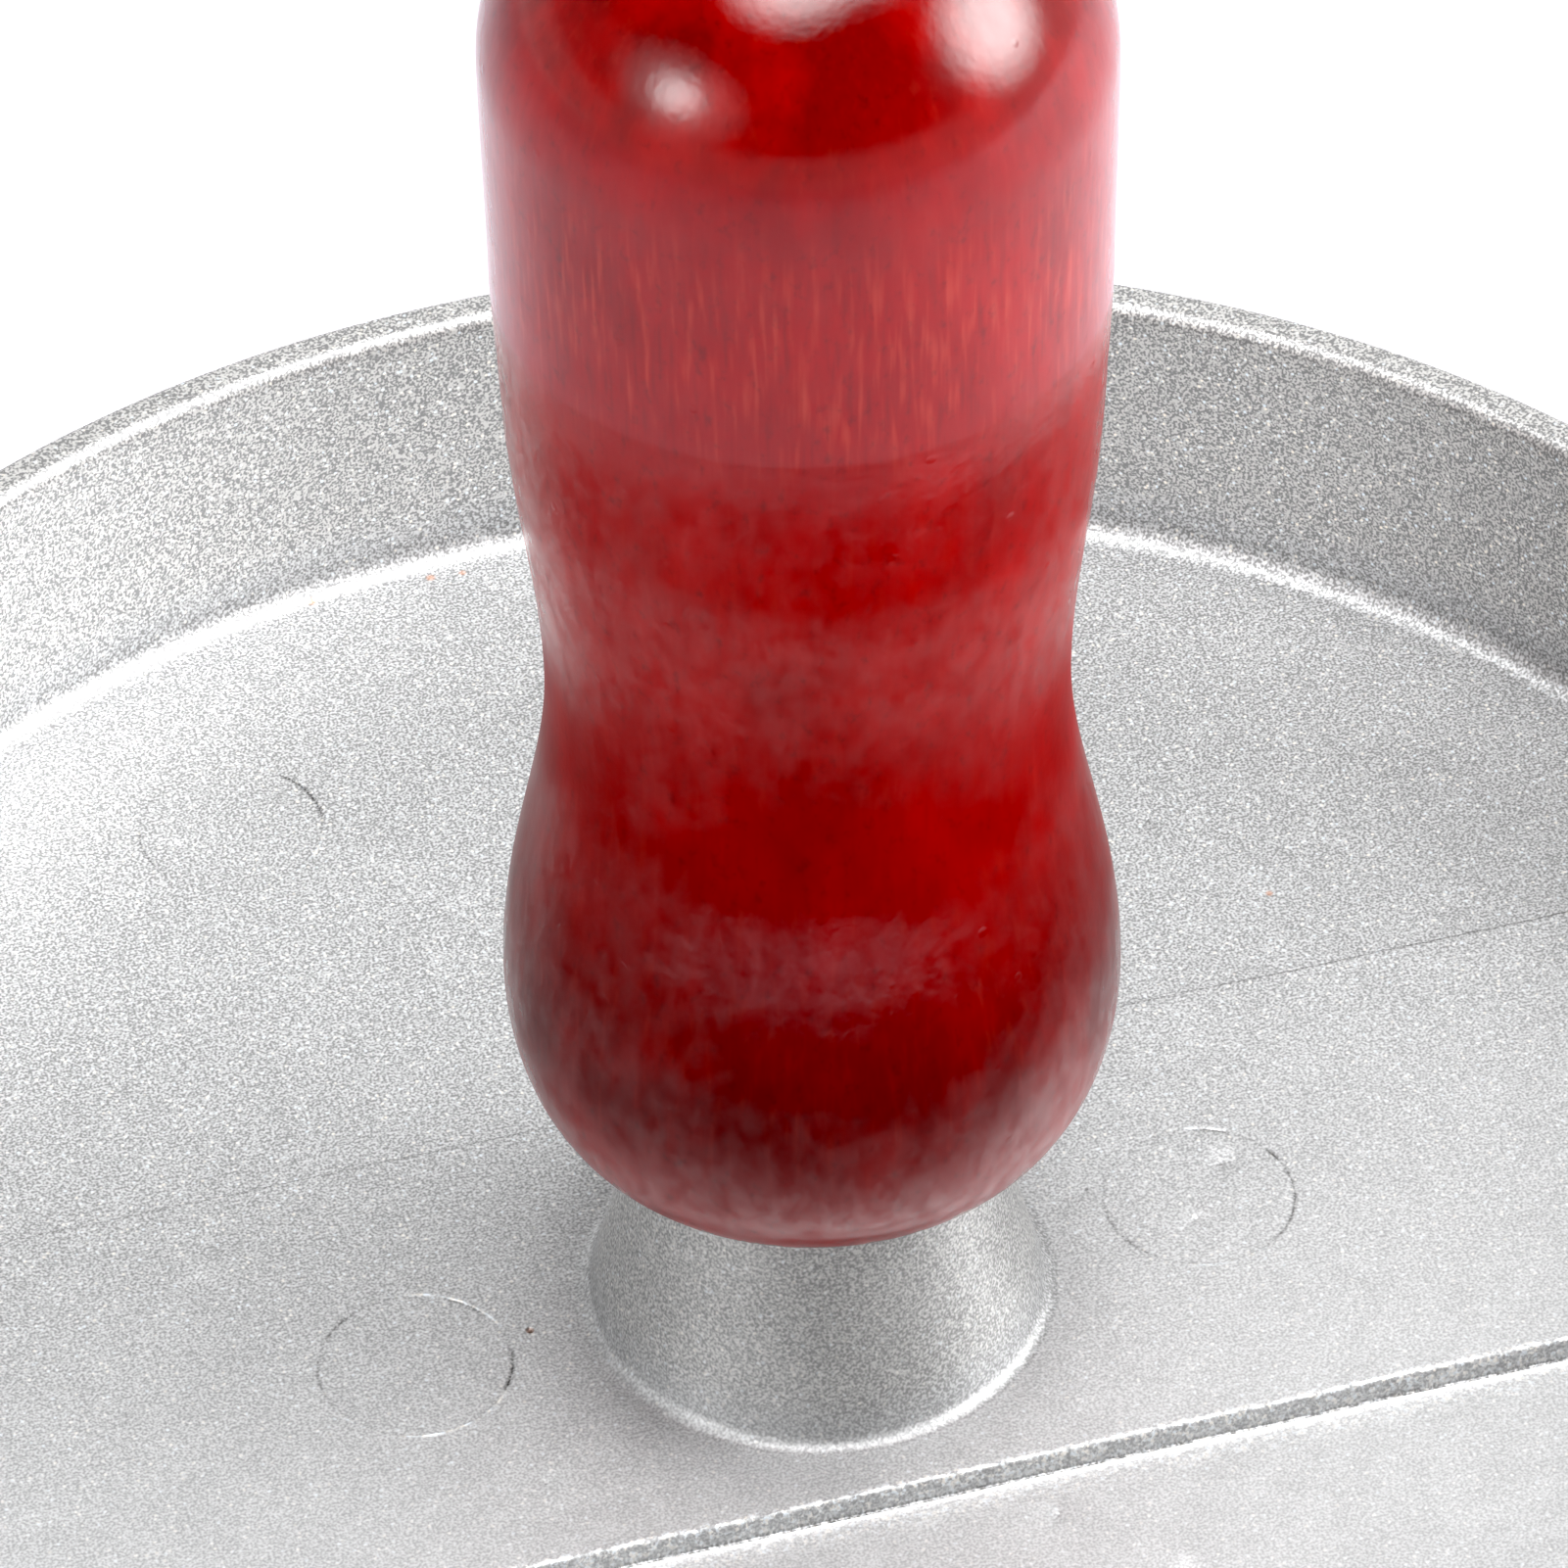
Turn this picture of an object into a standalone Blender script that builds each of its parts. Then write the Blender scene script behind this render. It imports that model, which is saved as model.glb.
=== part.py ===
"""Burger press: a cast aluminium mould dish, and a press head that lifts out of it.

The press head is a dished aluminium plate with a raised strip and a boss, and a
turned wooden handle held on the boss by a steel stud in a brass insert.
Units are metres. +Z points up along the handle, +X runs along the plate's strip,
and the origin is the centre of the mould's foot ring on the table.
"""

import math

import bmesh
import bpy

# Press plate casting
PLATE_RADIUS = 0.0576
PLATE_WALL = 0.0022
PLATE_FLOOR = 0.0026
PLATE_DEPTH = 0.0142
PLATE_OUTER_DRAFT = 0.0006
PLATE_INNER_DRAFT = 0.0002
PLATE_EDGE_RADIUS = 0.0024
PLATE_FOOT_FILLET = 0.0010
RIM_EDGE_RADIUS = 0.0005

# Raised strip across the plate, and the boss on it
STRIP_WIDTH = 0.0268
STRIP_HEIGHT = 0.0010
STRIP_DRAFT = 0.0003
BOSS_FOOT_RADIUS = 0.0104
BOSS_TOP_RADIUS = 0.0076
BOSS_HEIGHT = 0.0113
BOSS_FILLET = 0.0008
BOSS_EDGE_RADIUS = 0.0004
BOSS_HOLE_DEPTH = 0.0098

# Grill bars under the plate and on the mould's floor
BAR_WIDTH = 0.0036
BAR_HEIGHT = 0.0012
BAR_DRAFT = 0.0004
BAR_PITCH = 0.0090
BAR_MARGIN = 0.0048

# Mould dish casting
MOULD_CLEARANCE = 0.0008
MOULD_WALL = 0.0022
MOULD_FLOOR = 0.0026
MOULD_DEPTH = 0.0138
MOULD_DRAFT = 0.0004
MOULD_EDGE_RADIUS = 0.0030
MOULD_FOOT_FILLET = 0.0012
FOOT_RING_INSET = 0.0084
FOOT_RING_WIDTH = 0.0036
FOOT_RING_HEIGHT = 0.0020
FOOT_RING_DRAFT = 0.0006

# Turned handle, in stretches from its lower end up
END_RADIUS = 0.0097
BULB_RADIUS = 0.0136
BULB_HEIGHT = 0.0078
NECK_LENGTH = 0.0164
WAIST_RADIUS = 0.0113
FLARE_LENGTH = 0.0193
GRIP_RADIUS = 0.0129
GRIP_LENGTH = 0.0145
SHOULDER_RADIUS = 0.0131
DOME_HEIGHT = 0.0112

# Fixing between the boss and the handle
STUD_RADIUS = 0.0030
STUD_LENGTH = 0.0270
STUD_CHAMFER = 0.0005
STUD_END_ROOM = 0.0020
INSERT_WALL = 0.0013
INSERT_LENGTH = 0.0140
INSERT_FLANGE_WIDTH = 0.0012
INSERT_FLANGE_THICKNESS = 0.0010
WASHER_WIDTH = 0.0036
WASHER_THICKNESS = 0.0008

# Gap between pieces that touch on the real object
SEAT_GAP = 0.0003

# Faceting
PLATE_SIDES = 84
HANDLE_SIDES = 40
FIXING_SIDES = 24
ARC_STEPS = 4
RIM_STEPS = 2
CURVE_STEPS = 8
DOME_STEPS = 7
SMOOTH_ANGLE = math.radians(35)

# Depth to which a joined tool is sunk into its casting, and its stand-off from a tangent face
SINK = 0.0005
TANGENT_SINK = 0.00002

# Sizes worked out from the ones above
FLOOR_TOP = BAR_HEIGHT + PLATE_FLOOR
STRIP_TOP = FLOOR_TOP + STRIP_HEIGHT
PLATE_RIM = FLOOR_TOP + PLATE_DEPTH
PLATE_LOW_RADIUS = PLATE_RADIUS - PLATE_OUTER_DRAFT
BOSS_TOP = STRIP_TOP + BOSS_HEIGHT
WASHER_BASE = BOSS_TOP + SEAT_GAP
HANDLE_BASE = WASHER_BASE + WASHER_THICKNESS + SEAT_GAP
HOLE_RADIUS = STUD_RADIUS + SEAT_GAP
INSERT_RADIUS = HOLE_RADIUS + INSERT_WALL
STUD_BASE = BOSS_TOP - BOSS_HOLE_DEPTH + SEAT_GAP
INSERT_END = INSERT_LENGTH + SEAT_GAP
HANDLE_HOLE_DEPTH = max(STUD_BASE + STUD_LENGTH - HANDLE_BASE, INSERT_END) + STUD_END_ROOM
BOSS_TAPER = math.atan2(BOSS_FOOT_RADIUS - BOSS_TOP_RADIUS, BOSS_HEIGHT)
BAR_REACH = PLATE_LOW_RADIUS - PLATE_EDGE_RADIUS - BAR_MARGIN
MOULD_FLOOR_TOP = FOOT_RING_HEIGHT + MOULD_FLOOR
MOULD_BAR_TOP = MOULD_FLOOR_TOP + BAR_HEIGHT
MOULD_RIM = MOULD_BAR_TOP + MOULD_DEPTH
HEAD_HEIGHT = MOULD_BAR_TOP + SEAT_GAP


def clear_scene():
    for thing in list(bpy.data.objects):
        bpy.data.objects.remove(thing, do_unlink=True)


def make_material(name, colour, roughness, metallic):
    """A Principled material of one colour."""
    material = bpy.data.materials.new(name)
    material.use_nodes = True
    shader = material.node_tree.nodes["Principled BSDF"]
    shader.inputs["Base Color"].default_value = (*colour, 1.0)
    shader.inputs["Roughness"].default_value = roughness
    shader.inputs["Metallic"].default_value = metallic
    return material


def add_object(name, mesh_maker, material=None, parent=None, height=0.0):
    """Builds a mesh with mesh_maker and places it on the axis at a height."""
    mesh = bpy.data.meshes.new(name)
    solid = bmesh.new()
    mesh_maker(solid)
    bmesh.ops.recalc_face_normals(solid, faces=solid.faces)
    solid.to_mesh(mesh)
    solid.free()
    mesh.shade_smooth()
    mesh.set_sharp_from_angle(angle=SMOOTH_ANGLE)
    thing = bpy.data.objects.new(name, mesh)
    bpy.context.scene.collection.objects.link(thing)
    thing.parent = parent
    thing.location.z = height
    if material:
        mesh.materials.append(material)
    return thing


def add_tool(target, name, mesh_maker, operation):
    """Joins a hidden shape to the target, or cuts it out of the target."""
    tool = add_object(name, mesh_maker, parent=target)
    tool.hide_render = True
    tool.display_type = "WIRE"
    boolean = target.modifiers.new(name, "BOOLEAN")
    boolean.object = tool
    boolean.operation = operation
    boolean.solver = "EXACT"


def arc(centre_radius, centre_height, radius, start, end, steps=ARC_STEPS):
    """Points (radius, height) along an arc, from a start to an end angle in degrees."""
    angles = [math.radians(start + (end - start) * step / steps) for step in range(steps + 1)]
    return [(centre_radius + radius * math.cos(a), centre_height + radius * math.sin(a)) for a in angles]


def turned(profile, sides):
    """A mesh maker that turns a closed profile of (radius, height) points round the axis."""

    def make(solid):
        rings = []
        for radius, height in profile:
            count = sides if radius > 0 else 1
            angles = [2 * math.pi * side / sides for side in range(count)]
            rings.append([solid.verts.new((radius * math.cos(a), radius * math.sin(a), height)) for a in angles])
        closed_rings = rings + [rings[0]]
        for lower, upper in zip(closed_rings, closed_rings[1:]):
            for side in range(sides):
                beside = (side + 1) % sides
                corners = [
                    lower[side % len(lower)],
                    lower[beside % len(lower)],
                    upper[beside % len(upper)],
                    upper[side % len(upper)],
                ]
                face = list(dict.fromkeys(corners))
                if len(face) > 2:
                    solid.faces.new(face)

    return make


def dish_wall(outer, wall, rim, inner_draft, floor, fillet):
    """The profile over a dish's rim, from the outer wall's top to the floor at the inner wall's foot."""
    inner = outer - wall
    foot = inner - inner_draft
    return (
        arc(outer - RIM_EDGE_RADIUS, rim - RIM_EDGE_RADIUS, RIM_EDGE_RADIUS, 0, 90, RIM_STEPS)
        + arc(inner + RIM_EDGE_RADIUS, rim - RIM_EDGE_RADIUS, RIM_EDGE_RADIUS, 90, 180, RIM_STEPS)
        + arc(foot - fillet, floor + fillet, fillet, 0, -90)
    )


def taper_offset(radius):
    """How far the centre of an arc that is tangent to the boss's side and a level face lies from their corner."""
    return radius * (1 - math.sin(BOSS_TAPER)) / math.cos(BOSS_TAPER)


def plate_profile():
    """The press plate with its boss, from the underside's centre round to the boss's top."""
    edge = arc(PLATE_LOW_RADIUS - PLATE_EDGE_RADIUS, BAR_HEIGHT + PLATE_EDGE_RADIUS, PLATE_EDGE_RADIUS, -90, 0)
    wall = dish_wall(PLATE_RADIUS, PLATE_WALL, PLATE_RIM, PLATE_INNER_DRAFT, FLOOR_TOP, PLATE_FOOT_FILLET)
    taper = math.degrees(BOSS_TAPER)
    pad = BOSS_FOOT_RADIUS + taper_offset(BOSS_FILLET)
    fillet = arc(pad, STRIP_TOP + BOSS_FILLET - TANGENT_SINK, BOSS_FILLET, -90, taper - 180)
    edge_centre = BOSS_TOP_RADIUS - taper_offset(BOSS_EDGE_RADIUS)
    top_edge = arc(edge_centre, BOSS_TOP - BOSS_EDGE_RADIUS, BOSS_EDGE_RADIUS, taper, 90)
    return [(0, BAR_HEIGHT), *edge, *wall, (pad, FLOOR_TOP), *fillet, *top_edge, (0, BOSS_TOP)]


def mould_profile():
    """The mould dish, from the underside's centre over the foot ring and the rim to the floor's centre."""
    rim_inner = PLATE_RADIUS + MOULD_CLEARANCE
    outer = rim_inner + MOULD_WALL
    low_outer = outer - MOULD_DRAFT
    ring_outer = low_outer - FOOT_RING_INSET
    ring_inner = ring_outer - FOOT_RING_WIDTH
    foot_ring = [
        (ring_inner - FOOT_RING_DRAFT, FOOT_RING_HEIGHT),
        (ring_inner, 0),
        (ring_outer, 0),
        (ring_outer + FOOT_RING_DRAFT, FOOT_RING_HEIGHT),
    ]
    edge = arc(low_outer - MOULD_EDGE_RADIUS, FOOT_RING_HEIGHT + MOULD_EDGE_RADIUS, MOULD_EDGE_RADIUS, -90, 0)
    wall = dish_wall(outer, MOULD_WALL, MOULD_RIM, MOULD_DRAFT, MOULD_FLOOR_TOP, MOULD_FOOT_FILLET)
    return [(0, FOOT_RING_HEIGHT), *foot_ring, *edge, *wall, (0, MOULD_FLOOR_TOP)]


def swell(start_radius, end_radius, base, length):
    """Points (radius, height) of a smooth change of radius along a turned stretch, without its first."""
    points = []
    for step in range(1, CURVE_STEPS + 1):
        share = step / CURVE_STEPS
        ease = (1 - math.cos(math.pi * share)) / 2
        points.append((start_radius + (end_radius - start_radius) * ease, base + length * share))
    return points


def quarter(flat_radius, flat_height, side_radius, side_height, steps):
    """Points of a quarter ellipse from a level end to the station where the side stands upright."""
    points = []
    for step in range(steps + 1):
        angle = math.pi / 2 * step / steps
        radius = flat_radius + (side_radius - flat_radius) * math.sin(angle)
        height = side_height + (flat_height - side_height) * math.cos(angle)
        points.append((radius, height))
    return points


def handle_profile():
    """The turned handle with its stepped hole, from the hole's inner end out over the grip to the dome."""
    insert_hole = INSERT_RADIUS + SEAT_GAP
    flange_hole = INSERT_RADIUS + INSERT_FLANGE_WIDTH + SEAT_GAP
    flange_end = INSERT_FLANGE_THICKNESS + SEAT_GAP
    hole = [
        (0, HANDLE_HOLE_DEPTH),
        (HOLE_RADIUS, HANDLE_HOLE_DEPTH),
        (HOLE_RADIUS, INSERT_END),
        (insert_hole, INSERT_END),
        (insert_hole, flange_end),
        (flange_hole, flange_end),
        (flange_hole, 0),
    ]
    waist_height = BULB_HEIGHT + NECK_LENGTH
    shoulder_height = waist_height + FLARE_LENGTH + GRIP_LENGTH
    bulb = quarter(END_RADIUS, 0, BULB_RADIUS, BULB_HEIGHT, CURVE_STEPS)
    neck = swell(BULB_RADIUS, WAIST_RADIUS, BULB_HEIGHT, NECK_LENGTH)
    flare = swell(WAIST_RADIUS, GRIP_RADIUS, waist_height, FLARE_LENGTH)
    dome = quarter(0, shoulder_height + DOME_HEIGHT, SHOULDER_RADIUS, shoulder_height, DOME_STEPS)
    return [*hole, *bulb, *neck, *flare, *dome[::-1]]


def stud_profile():
    return [
        (0, 0),
        (STUD_RADIUS - STUD_CHAMFER, 0),
        (STUD_RADIUS, STUD_CHAMFER),
        (STUD_RADIUS, STUD_LENGTH - STUD_CHAMFER),
        (STUD_RADIUS - STUD_CHAMFER, STUD_LENGTH),
        (0, STUD_LENGTH),
    ]


def insert_profile():
    flange = INSERT_RADIUS + INSERT_FLANGE_WIDTH
    return [
        (HOLE_RADIUS, 0),
        (flange, 0),
        (flange, INSERT_FLANGE_THICKNESS),
        (INSERT_RADIUS, INSERT_FLANGE_THICKNESS),
        (INSERT_RADIUS, INSERT_LENGTH),
        (HOLE_RADIUS, INSERT_LENGTH),
    ]


def washer_profile():
    outer = HOLE_RADIUS + WASHER_WIDTH
    return [(HOLE_RADIUS, 0), (outer, 0), (outer, WASHER_THICKNESS), (HOLE_RADIUS, WASHER_THICKNESS)]


def frustum(solid, lower, upper):
    """Closes the space between two outlines of points, which have the same count."""
    rings = [[solid.verts.new(point) for point in outline] for outline in (lower, upper)]
    solid.faces.new(rings[0])
    solid.faces.new(rings[1])
    count = len(lower)
    for side in range(count):
        beside = (side + 1) % count
        solid.faces.new([rings[0][side], rings[0][beside], rings[1][beside], rings[1][side]])


def oblong(half_length, centre_y, half_width, height):
    corners = [(-1, -1), (1, -1), (1, 1), (-1, 1)]
    return [(x * half_length, centre_y + y * half_width, height) for x, y in corners]


def grill_bars(root, tip):
    """A mesh maker for parallel bars along X that end on a circle, from their root height to their tips."""

    def make(solid):
        half_width = BAR_WIDTH / 2
        count = int((BAR_REACH - half_width) / BAR_PITCH)
        for index in range(-count, count + 1):
            y = index * BAR_PITCH
            half_length = math.sqrt(BAR_REACH**2 - (abs(y) + half_width) ** 2)
            if half_length > BAR_WIDTH:
                wide = oblong(half_length, y, half_width, root)
                narrow = oblong(half_length - BAR_DRAFT, y, half_width - BAR_DRAFT, tip)
                frustum(solid, wide, narrow)

    return make


def chord_band(half_width, radius, height):
    """The outline of a band across a circle, with its ends on the circle."""
    half_angle = math.asin(half_width / radius)
    right = [half_angle * (2 * step / ARC_STEPS - 1) for step in range(ARC_STEPS + 1)]
    angles = right + [math.pi + angle for angle in right]
    return [(radius * math.cos(a), radius * math.sin(a), height) for a in angles]


def plate_strip(solid):
    """The raised strip, sunk into the floor and into the wall at both ends."""
    reach = PLATE_RADIUS - PLATE_WALL / 2 - PLATE_INNER_DRAFT
    half_width = STRIP_WIDTH / 2
    slope = STRIP_DRAFT / STRIP_HEIGHT
    low_half_width = half_width + slope * (STRIP_HEIGHT + SINK)
    lower = chord_band(low_half_width, reach, FLOOR_TOP - SINK)
    upper = chord_band(half_width, reach, STRIP_TOP)
    frustum(solid, lower, upper)


def build_mould():
    coating = make_material("mould_coating", (0.60, 0.61, 0.62), 0.45, 0.7)
    mould = add_object("mould_dish", turned(mould_profile(), PLATE_SIDES), coating)
    bars = grill_bars(MOULD_FLOOR_TOP - SINK, MOULD_BAR_TOP)
    add_tool(mould, "mould_bars", bars, "UNION")


def build_press_plate(head):
    coating = make_material("plate_coating", (0.64, 0.65, 0.66), 0.42, 0.7)
    plate = add_object("press_plate", turned(plate_profile(), PLATE_SIDES), coating, head)
    add_tool(plate, "plate_strip", plate_strip, "UNION")
    add_tool(plate, "plate_bars", grill_bars(BAR_HEIGHT + SINK, 0), "UNION")
    hole_floor = BOSS_TOP - BOSS_HOLE_DEPTH
    hole = [(0, hole_floor), (HOLE_RADIUS, hole_floor), (HOLE_RADIUS, BOSS_TOP + SINK), (0, BOSS_TOP + SINK)]
    add_tool(plate, "boss_hole", turned(hole, FIXING_SIDES), "DIFFERENCE")


def build_handle(head):
    varnish = make_material("red_varnish", (0.30, 0.008, 0.010), 0.12, 0.0)
    add_object("handle", turned(handle_profile(), HANDLE_SIDES), varnish, head, HANDLE_BASE)


def build_fixing(head):
    steel = make_material("stud_steel", (0.62, 0.62, 0.63), 0.30, 1.0)
    brass = make_material("insert_brass", (0.75, 0.55, 0.25), 0.30, 1.0)
    washer_steel = make_material("washer_steel", (0.66, 0.66, 0.67), 0.28, 1.0)
    add_object("handle_stud", turned(stud_profile(), FIXING_SIDES), steel, head, STUD_BASE)
    add_object("threaded_insert", turned(insert_profile(), FIXING_SIDES), brass, head, HANDLE_BASE)
    add_object("seat_washer", turned(washer_profile(), FIXING_SIDES), washer_steel, head, WASHER_BASE)


def main():
    clear_scene()
    build_mould()
    head = bpy.data.objects.new("press_head", None)
    bpy.context.scene.collection.objects.link(head)
    head.location.z = HEAD_HEIGHT
    build_press_plate(head)
    build_handle(head)
    build_fixing(head)


main()
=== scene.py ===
"""Dresses the burger press for a studio picture.

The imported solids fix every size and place. This script makes the surfaces that show:
the two castings in their silver sparkle coating, the turned handle under its red
varnish, and the stud, insert and washer between them. Then it sets the floor, the
lights and the camera. Lengths are in metres, +Z points up along the handle and +X
runs along the raised strip of the press plate.
"""

import logging
import math
import random
from dataclasses import dataclass, field
from enum import Enum
from typing import Any, Iterable, Optional, Sequence, Union

import bmesh
import bpy
import numpy as np
from mathutils import Matrix, Vector, geometry, noise


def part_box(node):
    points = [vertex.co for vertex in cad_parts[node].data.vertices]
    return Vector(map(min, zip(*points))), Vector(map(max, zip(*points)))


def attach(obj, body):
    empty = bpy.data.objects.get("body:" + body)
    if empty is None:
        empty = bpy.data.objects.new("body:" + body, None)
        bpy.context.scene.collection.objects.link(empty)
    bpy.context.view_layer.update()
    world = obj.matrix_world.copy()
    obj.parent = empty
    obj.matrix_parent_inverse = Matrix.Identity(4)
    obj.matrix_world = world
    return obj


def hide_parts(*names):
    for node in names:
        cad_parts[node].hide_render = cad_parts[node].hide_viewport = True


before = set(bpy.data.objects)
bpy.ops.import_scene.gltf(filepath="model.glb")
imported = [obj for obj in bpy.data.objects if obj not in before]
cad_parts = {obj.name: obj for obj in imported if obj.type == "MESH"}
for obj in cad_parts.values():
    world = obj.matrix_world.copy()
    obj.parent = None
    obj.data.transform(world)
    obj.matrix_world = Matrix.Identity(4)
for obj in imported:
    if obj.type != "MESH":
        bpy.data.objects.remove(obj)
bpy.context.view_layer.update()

LOG = logging.getLogger("burger_press")

MM = 0.001
SMOOTH_ANGLE = math.radians(32)
WELD = 1e-7
WHITE = (1.0, 1.0, 1.0, 1.0)

Socket = bpy.types.NodeSocket
Material = bpy.types.Material
Mesh = bpy.types.Mesh
Point = tuple[float, float]
Band = tuple[float, float]
Curve = tuple[Sequence[float], Sequence[float]]
Arcs = tuple[tuple[float, float, float], ...]
Colour = tuple[float, float, float]
Feed = Union[float, int, bool, tuple, Socket, Material]
Inputs = dict[Union[str, int], Feed]


class Body(Enum):
    """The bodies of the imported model."""

    MOULD = "mould"
    HEAD = "press_head"


class Side(Enum):
    """The way that a set of grill bars points from its casting."""

    UP = 1.0
    DOWN = -1.0


@dataclass(frozen=True)
class Span:
    """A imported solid's radius round the axis, and its lowest and highest point."""

    radius: float
    base: float
    top: float

    @classmethod
    def of(cls, node: str) -> "Span":
        """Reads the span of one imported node."""
        low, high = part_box(node)
        return cls((high[0] - low[0]) / 2, low[2], high[2])


class NodeSheet:
    """A node tree, with short ways to add its nodes and to join them."""

    def __init__(self, tree: bpy.types.NodeTree) -> None:
        """Keeps a shader or geometry tree."""
        self.tree = tree

    def feed(self, socket: Socket, value: Feed) -> None:
        """Joins a socket to another one, or sets its value.

        Args:
            socket: The input to feed.
            value: An output socket, or a value.
        """
        if isinstance(value, Socket):
            self.tree.links.new(value, socket)
        else:
            socket.default_value = value

    def add(self, kind: str, inputs: Optional[Inputs] = None, **settings: Any) -> bpy.types.Node:
        """Adds a node.

        Args:
            kind: The node's type name.
            inputs: What each named or numbered input gets.
            **settings: Properties of the node.

        Returns:
            The new node.
        """
        node = self.tree.nodes.new(kind)
        for name, value in settings.items():
            setattr(node, name, value)
        for key, value in (inputs or {}).items():
            self.feed(node.inputs[key], value)
        return node

    def math(self, operation: str, *values: Feed) -> Socket:
        """The result of a Math node on one to three values."""
        return self.add("ShaderNodeMath", dict(enumerate(values)), operation=operation).outputs[0]

    def times(self, first: Feed, second: Feed) -> Socket:
        """The product of two values."""
        return self.math("MULTIPLY", first, second)

    def plus(self, first: Feed, second: Feed) -> Socket:
        """The sum of two values."""
        return self.math("ADD", first, second)

    def minus(self, first: Feed, second: Feed) -> Socket:
        """The first value less the second."""
        return self.math("SUBTRACT", first, second)

    def vector(self, operation: str, *values: Feed) -> Socket:
        """The result of a Vector Math node: a number for a length or a dot product, or else a vector."""
        node = self.add("ShaderNodeVectorMath", dict(enumerate(values)), operation=operation)
        return node.outputs["Value" if operation in ("LENGTH", "DOT_PRODUCT") else "Vector"]

    def ramp(self, value: Feed, low: Feed, high: Feed, to_low: Feed = 0.0, to_high: Feed = 1.0) -> Socket:
        """Maps a value smoothly from a range onto another, and holds it level outside the range."""
        inputs = dict(enumerate((value, low, high, to_low, to_high)))
        return self.add("ShaderNodeMapRange", inputs, interpolation_type="SMOOTHSTEP").outputs[0]

    def sway(self, value: Feed, low: float, high: float, reach: float, middle: float = 0.0) -> Socket:
        """Maps a value from a range onto an even reach below and above a middle."""
        return self.ramp(value, low, high, middle - reach, middle + reach)


class ShaderSheet(NodeSheet):
    """A material's node tree, with the patterns that the finishes share."""

    ROUGHNESS = 0.55

    def __init__(self, name: str) -> None:
        """Makes a material with a tree that holds nothing but the piece's own coordinates.

        Args:
            name: The material's name.
        """
        self.material = bpy.data.materials.new(name)
        self.material.use_nodes = True
        self.material.node_tree.nodes.clear()
        super().__init__(self.material.node_tree)
        self.place = self.add("ShaderNodeTexCoord").outputs["Object"]

    def noise(
        self, size: float, detail: float = 2.0, stretch: tuple = (1.0, 1.0, 1.0), shift: float = 0.0
    ) -> Socket:
        """A soft noise on the piece's own coordinates.

        Args:
            size: The width of its patches.
            detail: How many finer layers it has.
            stretch: How many times its patches are drawn out along each axis.
            shift: Moves the pattern, so that two noises differ.

        Returns:
            A value round 0.5.
        """
        scale = tuple(1.0 / share for share in stretch)
        moved = {"Vector": self.place, "Scale": scale, "Location": (shift,) * 3}
        place = self.add("ShaderNodeMapping", moved).outputs[0]
        inputs = {"Vector": place, "Scale": 1.0 / size, "Detail": detail, "Roughness": self.ROUGHNESS}
        return self.add("ShaderNodeTexNoise", inputs).outputs[0]

    def mark(self, name: str) -> Socket:
        """The piece's own mark of a name, from 0 to 1; a piece without it has none."""
        return self.add("ShaderNodeAttribute", attribute_name=name).outputs["Fac"]

    def cells(self, size: float, low: float, high: float) -> Socket:
        """Scattered round spots, full up to one share of their spacing and gone past another."""
        texture = self.add("ShaderNodeTexVoronoi", {"Vector": self.place, "Scale": 1.0 / size})
        return self.ramp(texture.outputs["Distance"], low, high, 1.0, 0.0)

    def mix(self, share: Feed, first: Feed, second: Feed) -> Socket:
        """Mixes two colours.

        Args:
            share: How much of the second is taken.
            first: The first colour.
            second: The second colour.

        Returns:
            The mixed colour.
        """
        node = self.add("ShaderNodeMix", data_type="RGBA")
        self.feed(node.inputs[0], share)
        for number, colour in ((6, first), (7, second)):
            self.feed(node.inputs[number], colour if isinstance(colour, Socket) else (*colour, 1.0))
        return node.outputs[2]

    def bump(self, height: Feed, depth: float, under: Optional[Socket] = None) -> Socket:
        """Turns a height into a bumped normal.

        Args:
            height: The height, from 0 to 1.
            depth: The real depth of a height of 1.
            under: A normal that it adds to.

        Returns:
            The normal.
        """
        node = self.add("ShaderNodeBump", {"Height": height, "Distance": depth})
        if under:
            self.feed(node.inputs["Normal"], under)
        return node.outputs[0]

    def surface(self, inputs: dict[str, Feed]) -> Material:
        """Ends the tree in a Principled shader.

        Args:
            inputs: What the shader's sockets get.

        Returns:
            The finished material.
        """
        shader = self.add("ShaderNodeBsdfPrincipled", inputs)
        self.add("ShaderNodeOutputMaterial", {"Surface": shader.outputs[0]})
        return self.material


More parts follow.
